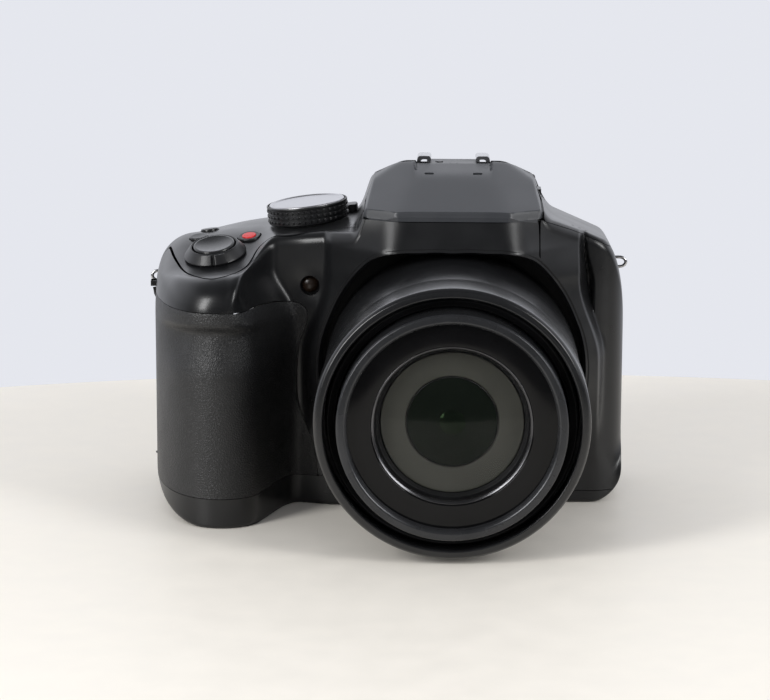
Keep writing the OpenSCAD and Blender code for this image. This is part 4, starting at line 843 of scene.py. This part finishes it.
def loop(corners, r, steps=4):
    """Closed profile with rounded corners."""
    start = (np.asarray(corners[0], float) + np.asarray(corners[-1], float)) / 2
    return soften([start, *corners, start], r, steps)


LENS = (np.array([0, 0, LENS_Z]), np.array([[1, 0, 0], [0, 0, -1], [0, 1, 0]]))


# %% Lens barrels
def lens_ring(name, node, corners, r, finish, slot, turns=160, body="second_stage"):
    """Ring of the lens: a closed profile with rounded corners, turned round the lens axis."""
    return put_turned(name, loop(corners, r), LENS, body, finish, [node], slot, turns)


lens_ring("fixed_barrel_turned", "fixed_barrel", [
    (35.2, 19.3), (35.2, 63.9), (34.2, 64.1), (34.2, 65.2), (35.7, 65.4), (36.0, 66.1), (36.0, 78.4),
    (35.3, 79.4), (33.8, 79.6), (33.4, 79.2), (33.3, 77.0), (34.3, 76.6), (34.3, 21.2), (24.5, 21.2),
    (24.5, 19.3)], 0.35, barrel_satin, "barrel_metal", 224, "camera")
lens_ring("first_barrel_turned", "first_barrel", [
    (31.6, 25.4), (32.8, 25.4), (32.8, 75.6), (32.2, 76.2), (30.9, 74.6), (30.4, 74.4), (30.4, 72.0),
    (31.6, 71.6)], 0.3, deep_black, "dark_plastic", 200, "first_stage")
thread = [(27.5 - 0.3 * (k % 2), 82.5 - 0.3 * k) for k in range(8)]
lens_ring("second_barrel_turned", "second_barrel", [
    (28.6, 26.2), (31.2, 26.2), (31.2, 28.2), (30.0, 28.2), (30.0, 82.3), (29.6, 82.8), (28.1, 83.0),
    (27.7, 82.75), *thread, (27.2, 80.05), (28.6, 80.0)], 0.2, rim_satin, "barrel_metal", 224)
lens_ring("name_ring_turned", "name_ring", [
    (21.0, 78.35), (28.3, 78.35), (28.3, 79.95), (27.15, 79.9), (21.2, 79.86), (21.0, 79.7)], 0.1,
    gloss_black, "gloss_black", 224)
ring_polish = moulded(
    "ring_polish", (0.08, 0.08, 0.084), (0.11, 0.11, 0.115), (0.20, 0.27), 6.0, 0.002, Metallic=0.9)
lens_ring("glass_retainer", "front_cell", [
    (20.1, 78.0), (20.9, 78.0), (20.95, 79.6), (20.8, 79.7), (20.25, 79.25)], 0.08,
    ring_polish, "barrel_metal", 200)

# %% [markdown]
# The glass is what the eye goes to. A clear front element covers a shallow olive-grey bowl, and in the
# middle of the bowl sits a smaller, darker element, nearly black with a green cast from its coating. The
# front element lets the light through both ways, so it shows the bowl under a faint sheen of its own.


# %% Lens glass
def coated_glass(name, cover, rough):
    """Clear coated glass, drawn as a film: mostly see-through, with a faint sheen that smears a little."""
    made, tree, shader = start_finish(name, Base_Color=(0.004, 0.005, 0.004, 1.0), Specular_IOR_Level=0.6)
    smear = spots(tree, 0.05)
    tree.links.new(between(tree, smear, *cover), shader.inputs["Alpha"])
    tree.links.new(between(tree, smear, *rough), shader.inputs["Roughness"])
    return made


def dome(reach, top, bend, count):
    """Profile of a dome from its axis out to reach: part of a circle of radius bend, highest at top."""
    r = np.linspace(0, reach, count)[:, None]
    return np.concatenate([r, top - bend + np.sqrt(bend ** 2 - r ** 2)], 1)


front_glass = coated_glass("front_glass", (0.08, 0.12), (0.02, 0.05))
bowl_olive = moulded(
    "bowl_olive", (0.044, 0.044, 0.037), (0.054, 0.054, 0.046), (0.5, 0.6), 1.5, 0.004,
    Specular_IOR_Level=0.1)
pupil_green = moulded(
    "pupil_green", (0.0040, 0.0058, 0.0040), (0.0055, 0.0075, 0.0055), (0.10, 0.16), 0.05, 0.0001,
    Specular_IOR_Level=0.05)
coated = moulded(
    "coated_green", (0.0026, 0.0042, 0.0026), (0.0036, 0.0055, 0.0036), (0.10, 0.14), 0.05, 0.0001,
    Specular_Tint=(0.5, 0.9, 0.4, 1.0), Specular_IOR_Level=0.12)
polished_rim = moulded("polished_rim", (0.010, 0.010, 0.010), (0.015, 0.015, 0.015), (0.14, 0.2), 2.0, 0.001)
cap = np.concatenate([dome(19.9, 79.0, 70, 40), dome(19.9, 78.2, 80, 40)[::-1]])
put_turned("front_element_glass", cap, LENS, "second_stage", front_glass, ["front_element"], "lens_glass")
lens_ring("front_cell_wall", "front_cell", [
    (28.2, 78.2), (20.2, 78.2), (20.0, 75.9), (18.8, 75.4), (18.6, 74.9), (14.6, 72.0), (14.6, 62.0),
    (21.5, 67.5), (28.2, 72.5)], 0.3, deep_black, "dark_plastic")
lens_ring("front_cell_bowl", "front_cell", [
    (18.65, 75.45), (18.55, 75.65), (12.3, 75.0), (12.1, 74.6), (12.1, 55.5), (14.5, 55.5), (14.5, 71.9),
    (18.5, 74.7)], 0.2, bowl_olive, "dark_plastic")
for name, reach, top, bend, count, foot, finish, turns in (
        ("second_element_glass", 11.6, 75.4, 90, 30, 58.0, pupil_green, 128),
        ("inner_element_glass", 3.6, 76.2, 6.8, 20, 73.2, coated, 96)):
    element = np.concatenate([dome(reach, top, bend, count), [[reach, foot], [0.0, foot]]])
    put_turned(name, element, LENS, "second_stage", finish, ["second_element"], "lens_glass", turns)
lens_ring("second_element_rim", "second_element", [
    (11.65, 73.3), (12.05, 73.3), (12.05, 74.7), (11.85, 74.9), (11.65, 74.5)], 0.1,
    polished_rim, "dark_plastic", 128)

# %% [markdown]
# The controls on the top sit on the sloping deck, so each one is drawn in its own small frame there. The
# mode dial has a skirt with three rows of small square teeth, which is one surface of angle and height
# whose radius steps in and out.


# %% Deck frame and mode dial
def on_deck(px, py):
    """Point on the deck and the three directions there: along the slope, across it and out of it."""
    along = np.arctan(roof(px, py + 0.5) - roof(px, py - 0.5))
    across = -np.arctan(roof(px + 0.5, py) - roof(px - 0.5, py))
    c, s = np.cos(along), np.sin(along)
    tip = np.array([[1, 0, 0], [0, c, -s], [0, s, c]])
    c, s = np.cos(across), np.sin(across)
    lean = np.array([[c, 0, s], [0, 1, 0], [-s, 0, c]])
    return np.array([px, py, float(roof(px, py))]), lean @ tip


def toothed(profile, place, teeth, depth_mm, rows, turns):
    """Turned grid with square teeth: rows gives each profile point's share of a tooth; -1 keeps it round."""
    angle = np.linspace(0, 2 * np.pi, turns, endpoint=False)
    wave = np.clip(2.6 * np.cos(teeth * angle) + 0.4, -1, 1) * 0.5 - 0.5
    share, plain = np.maximum(rows, 0)[:, None], rows[:, None] < 0
    r = np.where(plain, profile[:, :1], profile[:, :1] + depth_mm * wave * share - depth_mm * (1 - share))
    local = np.stack([r * np.cos(angle), r * np.sin(angle), profile[:, 1:] + 0 * angle], -1)
    return local @ place[1].T + place[0]


dial_place = on_deck(*DIAL)
skirt_h = np.linspace(0.9, 5.0, 46)
row_wave = np.clip(2.4 * np.cos(2 * np.pi * 3 * (skirt_h - 0.9) / 4.1 - np.pi) + 0.6, 0, 1)
lower = soften([(0.0, 0.5), (10.9, 0.5), (11.2, 0.9)], 0.2)
upper = soften([(11.2, 5.05), (11.35, 5.2), (11.3, 5.65), (10.95, 5.75), (10.9, 5.2), (0.0, 5.2)], 0.15)
dial_profile = np.concatenate([lower, np.stack([np.full(46, 11.4), skirt_h], 1), upper])
dial_rows = np.concatenate([np.full(len(lower), -1.0), row_wave, np.full(len(upper), -1.0)])
dial_grid = toothed(dial_profile, dial_place, 42, 0.5, dial_rows, 42 * 10)
put_rings("mode_dial_skirt", dial_grid, "dial", knob_black, ["mode_dial"], "dark_plastic")


# %% Brushed dial top
def brushed(name, centre, dark, light, rough):
    """Metal turned on a lathe: fine rings round a centre, read from the distance to it."""
    made, tree, shader = start_finish(name, Metallic=1.0)
    place = add(tree, "ShaderNodeTexCoord")
    shift = add(tree, "ShaderNodeVectorMath", operation="SUBTRACT")
    shift.inputs[1].default_value = [c * MM for c in centre]
    length = add(tree, "ShaderNodeVectorMath", operation="LENGTH")
    noise = add(tree, "ShaderNodeTexNoise", {"Scale": 9000.0, "Detail": 2.0}, noise_dimensions="1D")
    tree.links.new(place.outputs["Object"], shift.inputs[0])
    tree.links.new(shift.outputs["Vector"], length.inputs[0])
    tree.links.new(length.outputs["Value"], noise.inputs["W"])
    tree.links.new(two_tone(tree, noise.outputs["Fac"], dark, light), shader.inputs["Base Color"])
    tree.links.new(between(tree, noise.outputs["Fac"], *rough), shader.inputs["Roughness"])
    bump(tree, shader, noise.outputs["Fac"], 0.004)
    return made


dial_silver = brushed("dial_silver", dial_place[0], (0.40, 0.40, 0.415), (0.50, 0.50, 0.515), (0.30, 0.42))
cap_profile = soften([
    (0.0, 5.6), (9.5, 5.64), (9.9, 5.92), (10.4, 5.94), (10.6, 5.6), (10.6, 5.1), (0.0, 5.1)], 0.15)
put_turned("mode_dial_plate", cap_profile, dial_place, "dial", dial_silver, ["mode_dial_cap"], "silver_metal")

# %% [markdown]
# The shutter button has a dished, polished top for the finger, and the zoom lever is a cone round it with
# two plain pads in front. The small buttons are plain turned discs with a soft edge. The movie button
# carries a red dot.


# %% Shutter and zoom lever
def knob(name, node, profile, place, body, turns=160, finish=knob_black):
    """Turned control of dark plastic that stands for one node."""
    return put_turned(name, profile, place, body, finish, [node], "dark_plastic", turns)


shutter_place = on_deck(*SHUTTER)
dish = np.linspace(0, 5.0, 14)[:, None]
shutter_side = soften([(5.1, 3.42), (5.6, 3.35), (5.75, 2.9), (5.75, -1.6), (0.0, -1.6)], 0.3)
shutter_profile = np.concatenate([np.concatenate([dish, 2.85 + dish ** 2 / 46], 1), shutter_side])
polished = moulded(
    "polished_black", (0.010, 0.0103, 0.011), (0.014, 0.0144, 0.0152), (0.18, 0.26), 6.0, 0.002)
knob("shutter_button_turned", "shutter_button", shutter_profile, shutter_place, "shutter", finish=polished)
lever_profile = loop([
    (6.05, -1.5), (7.0, -1.5), (7.0, 0.3), (8.5, 0.3), (8.65, 0.7), (6.75, 2.95), (6.4, 3.1),
    (6.05, 2.8)], 0.3)
knob("zoom_lever_ring", "zoom_lever", lever_profile, shutter_place, "lever")


def lever_pad(name, turn_from, turn_to):
    """Pad on the front of the lever's cone: a surface of angle and slope, raised flat in its middle."""
    a, s = np.meshgrid(np.linspace(0, 1, 45), np.linspace(0, 1, 24), indexing="ij")
    flat = ramp(0, 0.1, a) * ramp(1, 0.9, a) * ramp(0, 0.12, s) * ramp(1, 0.88, s)
    rise = 1.25 * flat - 0.25
    angle = np.radians(turn_from + (turn_to - turn_from) * a)
    r, h = 8.9 - 2.3 * s + 0.77 * rise, 0.15 + 2.8 * s + 0.64 * rise
    local = np.stack([r * np.cos(angle), r * np.sin(angle), h], -1)
    grid = local @ shutter_place[1].T + shutter_place[0]
    pad = put(name, grid, [squares(*grid.shape[:2])], "lever", knob_black, ["zoom_lever"], "dark_plastic",
              shutter_place[0])
    return thicken(pad, 0.5)


lever_pad("zoom_lever_pad_left", 243.0, 268.4)
lever_pad("zoom_lever_pad_right", 271.6, 297.0)


# %% Deck buttons and power switch
def button_profile(r, up, down=-3.6, dished=0.12):
    """Round button: a slightly dished face, a rounded edge and a straight side."""
    face = np.linspace(0, r - 0.45, 6)[:, None]
    top = np.concatenate([face, up - dished + dished * (face / (r - 0.45)) ** 2], 1)
    edge = soften([(r - 0.4, up), (r - 0.1, up - 0.05), (r, up - 0.35), (r, down), (0.0, down)], 0.15)
    return np.concatenate([top, edge])


def put_stacked(name, half_x, half_y, rings_of, place, body, finish, stands_for, slot, power=5.0, count=72):
    """Closed block with a rounded outline: rings of (inset, height) of a superellipse of a power."""
    t = np.linspace(0, 2 * np.pi, count, endpoint=False)
    c, s = (np.sign(v) * abs(v) ** (2 / power) for v in (np.cos(t), np.sin(t)))
    inset, height = np.asarray(rings_of, float).T[..., None]
    local = np.stack([(half_x - inset) * c, (half_y - inset) * s, height + 0 * c], -1)
    local = np.concatenate([local[:1] * [0, 0, 1], local, local[-1:] * [0, 0, 1]])
    return put_rings(name, local @ np.asarray(place[1]).T + place[0], body, finish, stands_for, slot)


for node, spot, r in (("movie_button", MOVIE, 3.2), ("function_button_1", FUNCTION_1, 2.5),
                      ("function_button_2", FUNCTION_2, 2.5)):
    knob(node + "_turned", node, button_profile(r, 0.6), on_deck(*spot), node + "_body", 72)
dot_profile = soften([(0.0, 0.78), (1.8, 0.78), (2.0, 0.65), (2.0, 0.3), (0.0, 0.3)], 0.1)
put_turned("movie_button_dot", dot_profile, on_deck(*MOVIE), "movie_button_body", red_paint, ["movie_button"],
           None, 64)
put_stacked("power_switch_knob", 1.9, 3.4, [(0.3, -0.9), (0.0, -0.7), (0.0, 1.6), (0.2, 1.95), (0.6, 2.0)],
            on_deck(-28.8, 12.0), "power", knob_black, ["power_switch"], "dark_plastic", 4.0)

# %% [markdown]
# The accessory shoe is a bent chrome plate: a floor and two rails that turn in over it. Its profile across
# the body, with rounded bends, is carried along the shoe, and the front ends are drawn in a little.


# %% Accessory shoe
SHOE_Z, SHOE_Y, SHOE_LEAN = 90.5, 1.8, 0.1
RAIL_TOP = SHOE_Z + 4.6
shoe_axes = np.array([[1, 0, 0], [0, 1, SHOE_LEAN], [0, -SHOE_LEAN, 1]])


def along_y(profile, y_places, inset):
    """Profile of (x, z) points carried along Y and down with the lean; inset draws it to its middle."""
    middle = profile.mean(0)
    flat = middle + (profile - middle) * (1 - np.asarray(inset)[:, None, None])
    rows = np.asarray(y_places, float)[:, None, None] + np.zeros((1, len(profile), 1))
    return np.concatenate([flat[..., :1], rows, flat[..., 1:] - SHOE_LEAN * (rows - SHOE_Y)], -1)


def shoe_block(name, half, rise, y_middle, heights, finish, node, slot):
    """Block that lies in the shoe with its lean, rise above the shoe's floor."""
    place = np.array([0, y_middle, SHOE_Z + rise - SHOE_LEAN * (y_middle - SHOE_Y)]), shoe_axes
    rows = [(inset, h) for inset, h in zip((0.1, 0.0, 0.0, 0.1), heights)]
    return put_stacked(name, *half, rows, place, "camera", finish, [node], slot, 40.0, 160)


rail = loop([
    (10.2, SHOE_Z), (10.2, RAIL_TOP), (6.3, RAIL_TOP), (6.3, SHOE_Z + 3.1), (6.9, SHOE_Z + 3.1),
    (7.1, SHOE_Z + 3.7), (9.3, SHOE_Z + 3.7), (9.3, SHOE_Z)], 1.1, 6)
for side, name in ((1, "right"), (-1, "left")):
    grid = along_y(rail * [side, 1], [1.85, 2.0, 20.6, 20.75], [0.06, 0.0, 0.0, 0.06])
    ends = [np.arange(len(rail))[None, :-1], (3 * len(rail) + np.arange(len(rail)))[None, :-1]]
    put(f"shoe_rail_{name}", grid, [squares(*grid.shape[:2]), *ends], "camera", chrome, ["shoe_rails"],
        "shoe_chrome")
shoe_block("shoe_plate", (9.4, 9.4), 0.0, 11.3, (0.0, 0.1, 0.4, 0.5), chrome, "shoe_rails", "shoe_chrome")
shoe_block("shoe_seat", (10.9, 10.4), -2.0, 10.6, (0.0, 0.1, 1.8, 1.95), satin_black, "top_cover",
           "body_plastic")

# %% [markdown]
# The back has a display under a flat glass window, a soft eyecup round the eyepiece and a field of small
# controls. The eyecup is a profile carried round a rounded rectangle.


# %% Back frame and eyecup
def on_rear(px, pz):
    """Point on the rear face, with its third direction out of the face."""
    return np.array([px, BACK, pz]), np.array([[1, 0, 0], [0, 0, 1], [0, -1, 0]])


def rounded_rectangle(half_x, half_y, r, count):
    """Points of a rectangle with corner radius r: a small circle pushed out into the four corners."""
    t = np.linspace(0, 2 * np.pi, count, endpoint=False)
    c, s = np.cos(t), np.sin(t)
    push_x = np.clip(c * 6, -1, 1) * (half_x - r)
    push_y = np.clip(s * 6, -1, 1) * (half_y - r)
    return np.stack([push_x + r * c, push_y + r * s], -1)


cup_profile = loop([
    (0.4, 0.05), (0.0, 1.0), (0.3, 9.6), (1.0, 11.1), (2.0, 11.0), (2.6, 9.6), (3.0, 2.2), (6.9, 2.0),
    (7.4, 1.6), (7.4, 0.05)], 0.5, 5)
cup_rows = np.stack([
    rounded_rectangle(19.0 - i, 9.25 - 0.6 * i, max(7.0 - 0.75 * i, 1.2), 200) for i in cup_profile[:, 0]])
cup_height = np.broadcast_to(cup_profile[:, 1][:, None, None], (*cup_rows.shape[:2], 1))
cup_place = on_rear(0.0, FINDER_Z)
cup_grid = np.concatenate([cup_rows, cup_height], -1) @ cup_place[1].T + cup_place[0]
put_rings("eyecup_rubber", cup_grid, "camera", soft_rubber, ["eyecup"], "grip_rubber")


# %% Display window
def display_glass(name):
    """Black glass with a slightly lighter picture area behind it."""
    made, tree, shader = start_finish(name)
    place = add(tree, "ShaderNodeTexCoord")
    split = add(tree, "ShaderNodeSeparateXYZ")
    tree.links.new(place.outputs["Object"], split.inputs["Vector"])
    area = None
    for axis, middle, half in (("X", 0.001, 0.0315), ("Z", 0.036, 0.0232)):
        near = add(tree, "ShaderNodeMath", {1: middle, 2: half}, operation="COMPARE")
        tree.links.new(split.outputs[axis], near.inputs[0])
        both = add(tree, "ShaderNodeMath", operation="MULTIPLY")
        both.inputs[1].default_value = 1.0
        tree.links.new(near.outputs["Value"], both.inputs[0])
        if area is not None:
            tree.links.new(area, both.inputs[1])
        area = both.outputs["Value"]
    colour = two_tone(tree, area, (0.003, 0.003, 0.0033), (0.010, 0.0108, 0.0125), 0.2, 0.8)
    tree.links.new(colour, shader.inputs["Base Color"])
    tree.links.new(between(tree, spots(tree, 0.06), 0.05, 0.12), shader.inputs["Roughness"])
    return made


screen_glass = display_glass("screen_glass")
put_stacked("lcd_window_glass", 36.0, 26.0, [(0.3, -1.2), (0.0, -0.9), (0.0, 0.1), (0.15, 0.4), (0.5, 0.5)],
            on_rear(*DISPLAY), "camera", screen_glass, ["lcd_window"], "gloss_black", 30.0, 240)

# %% Rear controls
for key, spot in REAR_BUTTONS.items():
    node = key + "_button"
    knob(node + "_turned", node, button_profile(2.5, 0.8), on_rear(*spot), node + "_body", 72)
pad_profile = loop([
    (4.4, -1.1), (10.3, -1.1), (10.5, -0.4), (10.4, 0.9), (9.6, 1.2), (7.2, 0.75), (4.7, 1.0),
    (4.4, 0.7)], 0.35, 6)
knob("cursor_pad_turned", "cursor_pad", pad_profile, on_rear(*PAD), "pad", 128)
knob("set_button_turned", "set_button", button_profile(3.7, 1.4, -5.0, 0.25), on_rear(*PAD), "set_key", 96)
thumb_rows = [(0.2, 0.02), (0.0, 0.3), (0.1, 1.4), (0.7, 2.1), (1.8, 2.35), (3.4, 2.4)]
put_stacked("thumb_rest_pad", 5.0, 5.5, thumb_rows, on_rear(-67.0, 55.5), "camera", grip_leather,
            ["thumb_rest"], "grip_rubber", 3.6, 120)


def knurled_wheel(name, node, middle, wheel_axes, r, height, teeth, body):
    """Wheel with straight teeth: its radius dips between them, and both edges are bevelled."""
    half = np.array([(0.0, 0.0), (r - 0.7, 0.0), (r - 0.3, 0.15), (r, 0.5)])
    profile = np.concatenate([half, half[::-1] * [1, -1] + [0, height]])
    rows = np.array([-1.0, -1, -1, 1, 1, -1, -1, -1])
    grid = toothed(profile, (np.array(middle), wheel_axes), teeth, 0.35, rows, teeth * 8)
    return put_rings(name, grid, body, knob_black, [node], "dark_plastic")


sideways = np.array([[0, 0, 1.0], [1.0, 0, 0], [0, 1.0, 0]])
knurled_wheel("rear_dial_wheel", "rear_dial", (-54, 20.5, 59.5), np.eye(3), 7.5, 4.5, 40, "rear_wheel")
knurled_wheel("dioptre_dial_wheel", "dioptre_dial", (20.5, *DIOPTRE), sideways, 3.5, 2.9, 24, "dioptre")

# %% [markdown]
# A few small things finish the front: the focus lamp is a dark brown dome, and the three microphone holes on
# the right shoulder are drawn as flat black discs on the deck, painted shade in place of the holes.

# %% Lamp and microphone holes
lamp_brown = moulded("lamp_brown", (0.012, 0.007, 0.004), (0.018, 0.010, 0.006), (0.28, 0.36), 1.0, 0.001)
lamp_depth = float(depth(*np.array(LAMP)))
lamp_place = (np.array([LAMP[0], -lamp_depth + 2.2, LAMP[1]]), LENS[1])
bulge = np.linspace(0, 2.25, 12)[:, None]
bulge = np.concatenate([bulge, 1.5 - bulge ** 2 / 5.5], 1)
lamp_profile = np.concatenate([bulge, [[2.25, -2.0], [0.0, -2.0]]])
put_turned("focus_lamp_dome", lamp_profile, lamp_place, "camera", lamp_brown, ["focus_lamp"],
           "lamp_amber", 64)
collar = loop([(2.3, -2.0), (3.0, -2.0), (3.0, 0.4), (2.3, 0.4)], 0.1)
knob("focus_lamp_collar", "focus_lamp", collar, lamp_place, "camera", 64, deep_black)
# Painted shade: each microphone hole is a flat black disc standing just proud of the deck, not a cut hole.
hole_shade_disc = soften([(0.0, 0.03), (0.42, 0.03), (0.52, -0.1), (0.52, -0.6), (0.0, -0.6)], 0.05)
for k, spot in enumerate(((33.0, -13.4), (34.9, -12.4), (36.8, -11.4))):
    knob(f"microphone_hole_shade_{k}", "top_cover", hole_shade_disc, on_deck(*spot), "camera", 24, deep_black)

# %% [markdown]
# A strap hangs on a small steel loop at each end. The loop is a round wire bent to a letter D, with both
# feet in the body. It is a circle carried round that D.


# %% Strap lugs
WIRE_R, LUG_HALF = 0.45, 1.35


def lug_loop(name, foot, out, reach):
    """Wire loop: a small circle carried round a rounded D in the plane of X and Z."""
    turn_d = np.radians(np.linspace(-90, 90, 25))
    path = np.stack([out * (0.6 + (reach - 0.6) * np.cos(turn_d)), 0 * turn_d, LUG_HALF * np.sin(turn_d)], 1)
    path = np.concatenate([[[-out * 2.0, 0, -LUG_HALF]], path, [[-out * 2.0, 0, LUG_HALF]]])
    along = np.gradient(path, axis=0)
    along = along / np.linalg.norm(along, axis=1, keepdims=True)
    across = np.array([0, 1.0, 0])
    ring = np.linspace(0, 2 * np.pi, 16, endpoint=False)
    c, s = np.cos(ring)[:, None], np.sin(ring)[:, None]
    tube = foot + path[:, None, :] + WIRE_R * (c * np.cross(along, across)[:, None, :] + s * across)
    return put_rings(name, tube, "camera", chrome, ["strap_lugs"], "shoe_chrome", foot)


lug_loop("strap_lug_right", np.array([46.2, 0.0, 65.8]), 1, 2.4)
lug_loop("strap_lug_left", np.array([-82.2, 0.0, 60.95]), -1, 2.2)

# %% [markdown]
# The pieces inside and underneath keep the solids' own meshes. They only need a finish, and those with
# bare machined edges get a small bevel. The circuit board has a green lacquer with faint lighter tracks.


# %% Finishes for the solids that stay
def board_lacquer(name):
    """Green lacquer over a net of tracks, from a brick pattern."""
    made, tree, shader = start_finish(name)
    place = add(tree, "ShaderNodeTexCoord")
    turn_flat = add(tree, "ShaderNodeMapping", {"Rotation": (1.5708, 0.0, 0.0), "Scale": [400.0] * 3})
    net = add(tree, "ShaderNodeTexBrick", {
        "Scale": 1.0, "Mortar Size": 0.04, "Color1": (0.010, 0.075, 0.035, 1),
        "Color2": (0.014, 0.09, 0.042, 1), "Mortar": (0.05, 0.15, 0.06, 1)})
    tree.links.new(place.outputs["Object"], turn_flat.inputs["Vector"])
    tree.links.new(turn_flat.outputs["Vector"], net.inputs["Vector"])
    tree.links.new(net.outputs["Color"], shader.inputs["Base Color"])
    tree.links.new(between(tree, spots(tree, 0.5), 0.25, 0.4), shader.inputs["Roughness"])
    bump(tree, shader, net.outputs["Fac"], 0.02)
    return made


board_green = board_lacquer("board_green")
eye_glass = coated_glass("eye_glass", (0.35, 0.45), (0.03, 0.07))
window_white = moulded("window_white", (0.70, 0.71, 0.71), (0.80, 0.81, 0.81), (0.15, 0.25), 1.2, 0.03)
dark_metal = moulded(
    "dark_metal", (0.035, 0.036, 0.038), (0.05, 0.051, 0.054), (0.35, 0.45), 4.0, 0.006, Metallic=0.8)
KEPT = {
    steel: "chassis image_sensor zoom_motor flash_pin lcd_module socket_block tripod_bush",
    dark_metal: "cam_tube shoe_contacts pad_gimbal battery_latch case_screws",
    deep_black: "lens_base flash_head viewfinder battery",
    satin_black: "socket_door battery_door",
    board_green: "main_board", gear_white: "zoom_pinion", pupil_green: "rear_lens_group",
    window_white: "flash_window", knob_black: "flash_switch", eye_glass: "eyepiece_lens"}
EASED = {"socket_door": 0.25, "battery_door": 0.25, "battery_latch": 0.15, "flash_head": 0.3,
         "flash_window": 0.25, "flash_switch": 0.2}
kept = [(node, finish) for finish, nodes in KEPT.items() for node in nodes.split()]
for node, finish in kept:
    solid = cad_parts[node]
    solid.data.materials.clear()
    solid.data.materials.append(finish)
    if node in EASED:
        weld = solid.modifiers.new("weld", "WELD")
        weld.merge_threshold = WELD
        ease(solid, EASED[node])
print("kept", len(kept), "solids")

# %% [markdown]
# The camera stands on a round cream table in front of a pale wall. The table is real geometry, so that it
# takes the shadow and shows in the lower half of the shiny rings. The wall is only the world's colour.
# Large soft lamps stand to the left, to the right and behind, at a level where a colour looks as written.
# What mirrors the room sees a brighter wall higher up and a darker ceiling.


# %% Table
def table_top(half, centre, rows=40, turns=256):
    """Oval of rings, with a rounded edge that falls away."""
    r = np.concatenate([np.linspace(0, 1, rows), [1.004, 1.006]])
    h = np.concatenate([np.full(rows, -0.02), [-3.0, -20.0]])
    angle = np.linspace(0, 2 * np.pi, turns, endpoint=False)
    across = half[0] * r[:, None] * np.cos(angle) + centre[0]
    along = half[1] * r[:, None] * np.sin(angle) + centre[1]
    return np.stack([across, along, h[:, None] + 0 * angle], -1)


cream = moulded("table_cream", (0.85, 0.807, 0.726), (0.88, 0.835, 0.751), (0.5, 0.6), 0.5, 0.01)
top_grid = table_top((330.0, 200.0), (15.0, -54.0))
table_mesh = bpy.data.meshes.new("table")
table_faces = squares(*top_grid.shape[:2], round_m=True)
table_mesh.from_pydata((top_grid.reshape(-1, 3) * MM).tolist(), [], table_faces.tolist())
table_mesh.materials.append(cream)
table_mesh.flip_normals()
table = bpy.data.objects.new("table", table_mesh)
bpy.context.scene.collection.objects.link(table)
print("table edge", top_grid[..., 1].max(), "mm behind the axis")


# %% Lamps and wall
def soft_lamp(name, place_mm, aim_mm, width_mm, watts):
    """Rectangular lamp at a place, turned to its aim."""
    data = bpy.data.lights.new(name, "AREA")
    data.shape = "RECTANGLE"
    data.size, data.size_y = width_mm[0] * MM, width_mm[1] * MM
    data.energy = watts
    lamp = bpy.data.objects.new(name, data)
    back = np.asarray(place_mm, float) - np.asarray(aim_mm, float)
    back = back / np.linalg.norm(back)
    right = np.cross([0, 0, 1], back)
    right = right / np.linalg.norm(right)
    turned_to = Matrix(np.stack([right, np.cross(back, right), back], 1).tolist()).to_4x4()
    lamp.matrix_world = Matrix.Translation([v * MM for v in place_mm]) @ turned_to
    bpy.context.scene.collection.objects.link(lamp)
    return lamp


soft_lamp("lamp_left", (-800, -760, 500), (-30, 0, 40), (320, 760), 10.0)
soft_lamp("lamp_right", (820, -640, 520), (20, 0, 40), (260, 600), 6.0)
behind_lamp = soft_lamp("lamp_behind", (0, 1000, 520), (0, -40, 40), (1300, 420), 2.0)
behind_lamp.visible_glossy = False

WALL = (0.785, 0.80, 0.855, 1.0)
world = bpy.data.worlds.new("pale_wall")
bpy.context.scene.world = world
world.use_nodes = True
wall_tree = world.node_tree
wall = wall_tree.nodes["Background"]
wall.inputs["Color"].default_value = WALL
room = add(wall_tree, "ShaderNodeBackground", {"Color": WALL, "Strength": 0.74})
mirrored = add(wall_tree, "ShaderNodeBackground", {"Color": WALL})
way = add(wall_tree, "ShaderNodeTexCoord")
split_way = add(wall_tree, "ShaderNodeSeparateXYZ")
wall_tree.links.new(way.outputs["Generated"], split_way.inputs["Vector"])
facing = between(wall_tree, split_way.outputs["Y"], 0.10, 1.0, -0.25, 0.35)
upper = between(wall_tree, split_way.outputs["Z"], 1.0, 1.6, 0.02, 0.16)
ceiling = between(wall_tree, split_way.outputs["Z"], 1.0, 0.2, 0.62, 0.80)
for factor in (upper, ceiling):
    lit = add(wall_tree, "ShaderNodeMath", operation="MULTIPLY")
    wall_tree.links.new(facing, lit.inputs[0])
    wall_tree.links.new(factor, lit.inputs[1])
    facing = lit.outputs["Value"]
wall_tree.links.new(facing, mirrored.inputs["Strength"])
path = add(wall_tree, "ShaderNodeLightPath")
in_mirror, in_view = add(wall_tree, "ShaderNodeMixShader"), add(wall_tree, "ShaderNodeMixShader")
seen = add(wall_tree, "ShaderNodeMath", operation="MAXIMUM")
for source, target in (
        (path.outputs["Is Glossy Ray"], seen.inputs[0]),
        (path.outputs["Is Transmission Ray"], seen.inputs[1]),
        (seen.outputs[0], in_mirror.inputs["Fac"]), (room.outputs[0], in_mirror.inputs[1]),
        (mirrored.outputs[0], in_mirror.inputs[2]), (path.outputs["Is Camera Ray"], in_view.inputs["Fac"]),
        (in_mirror.outputs[0], in_view.inputs[1]), (wall.outputs[0], in_view.inputs[2]),
        (in_view.outputs[0], wall_tree.nodes["World Output"].inputs["Surface"])):
    wall_tree.links.new(source, target)
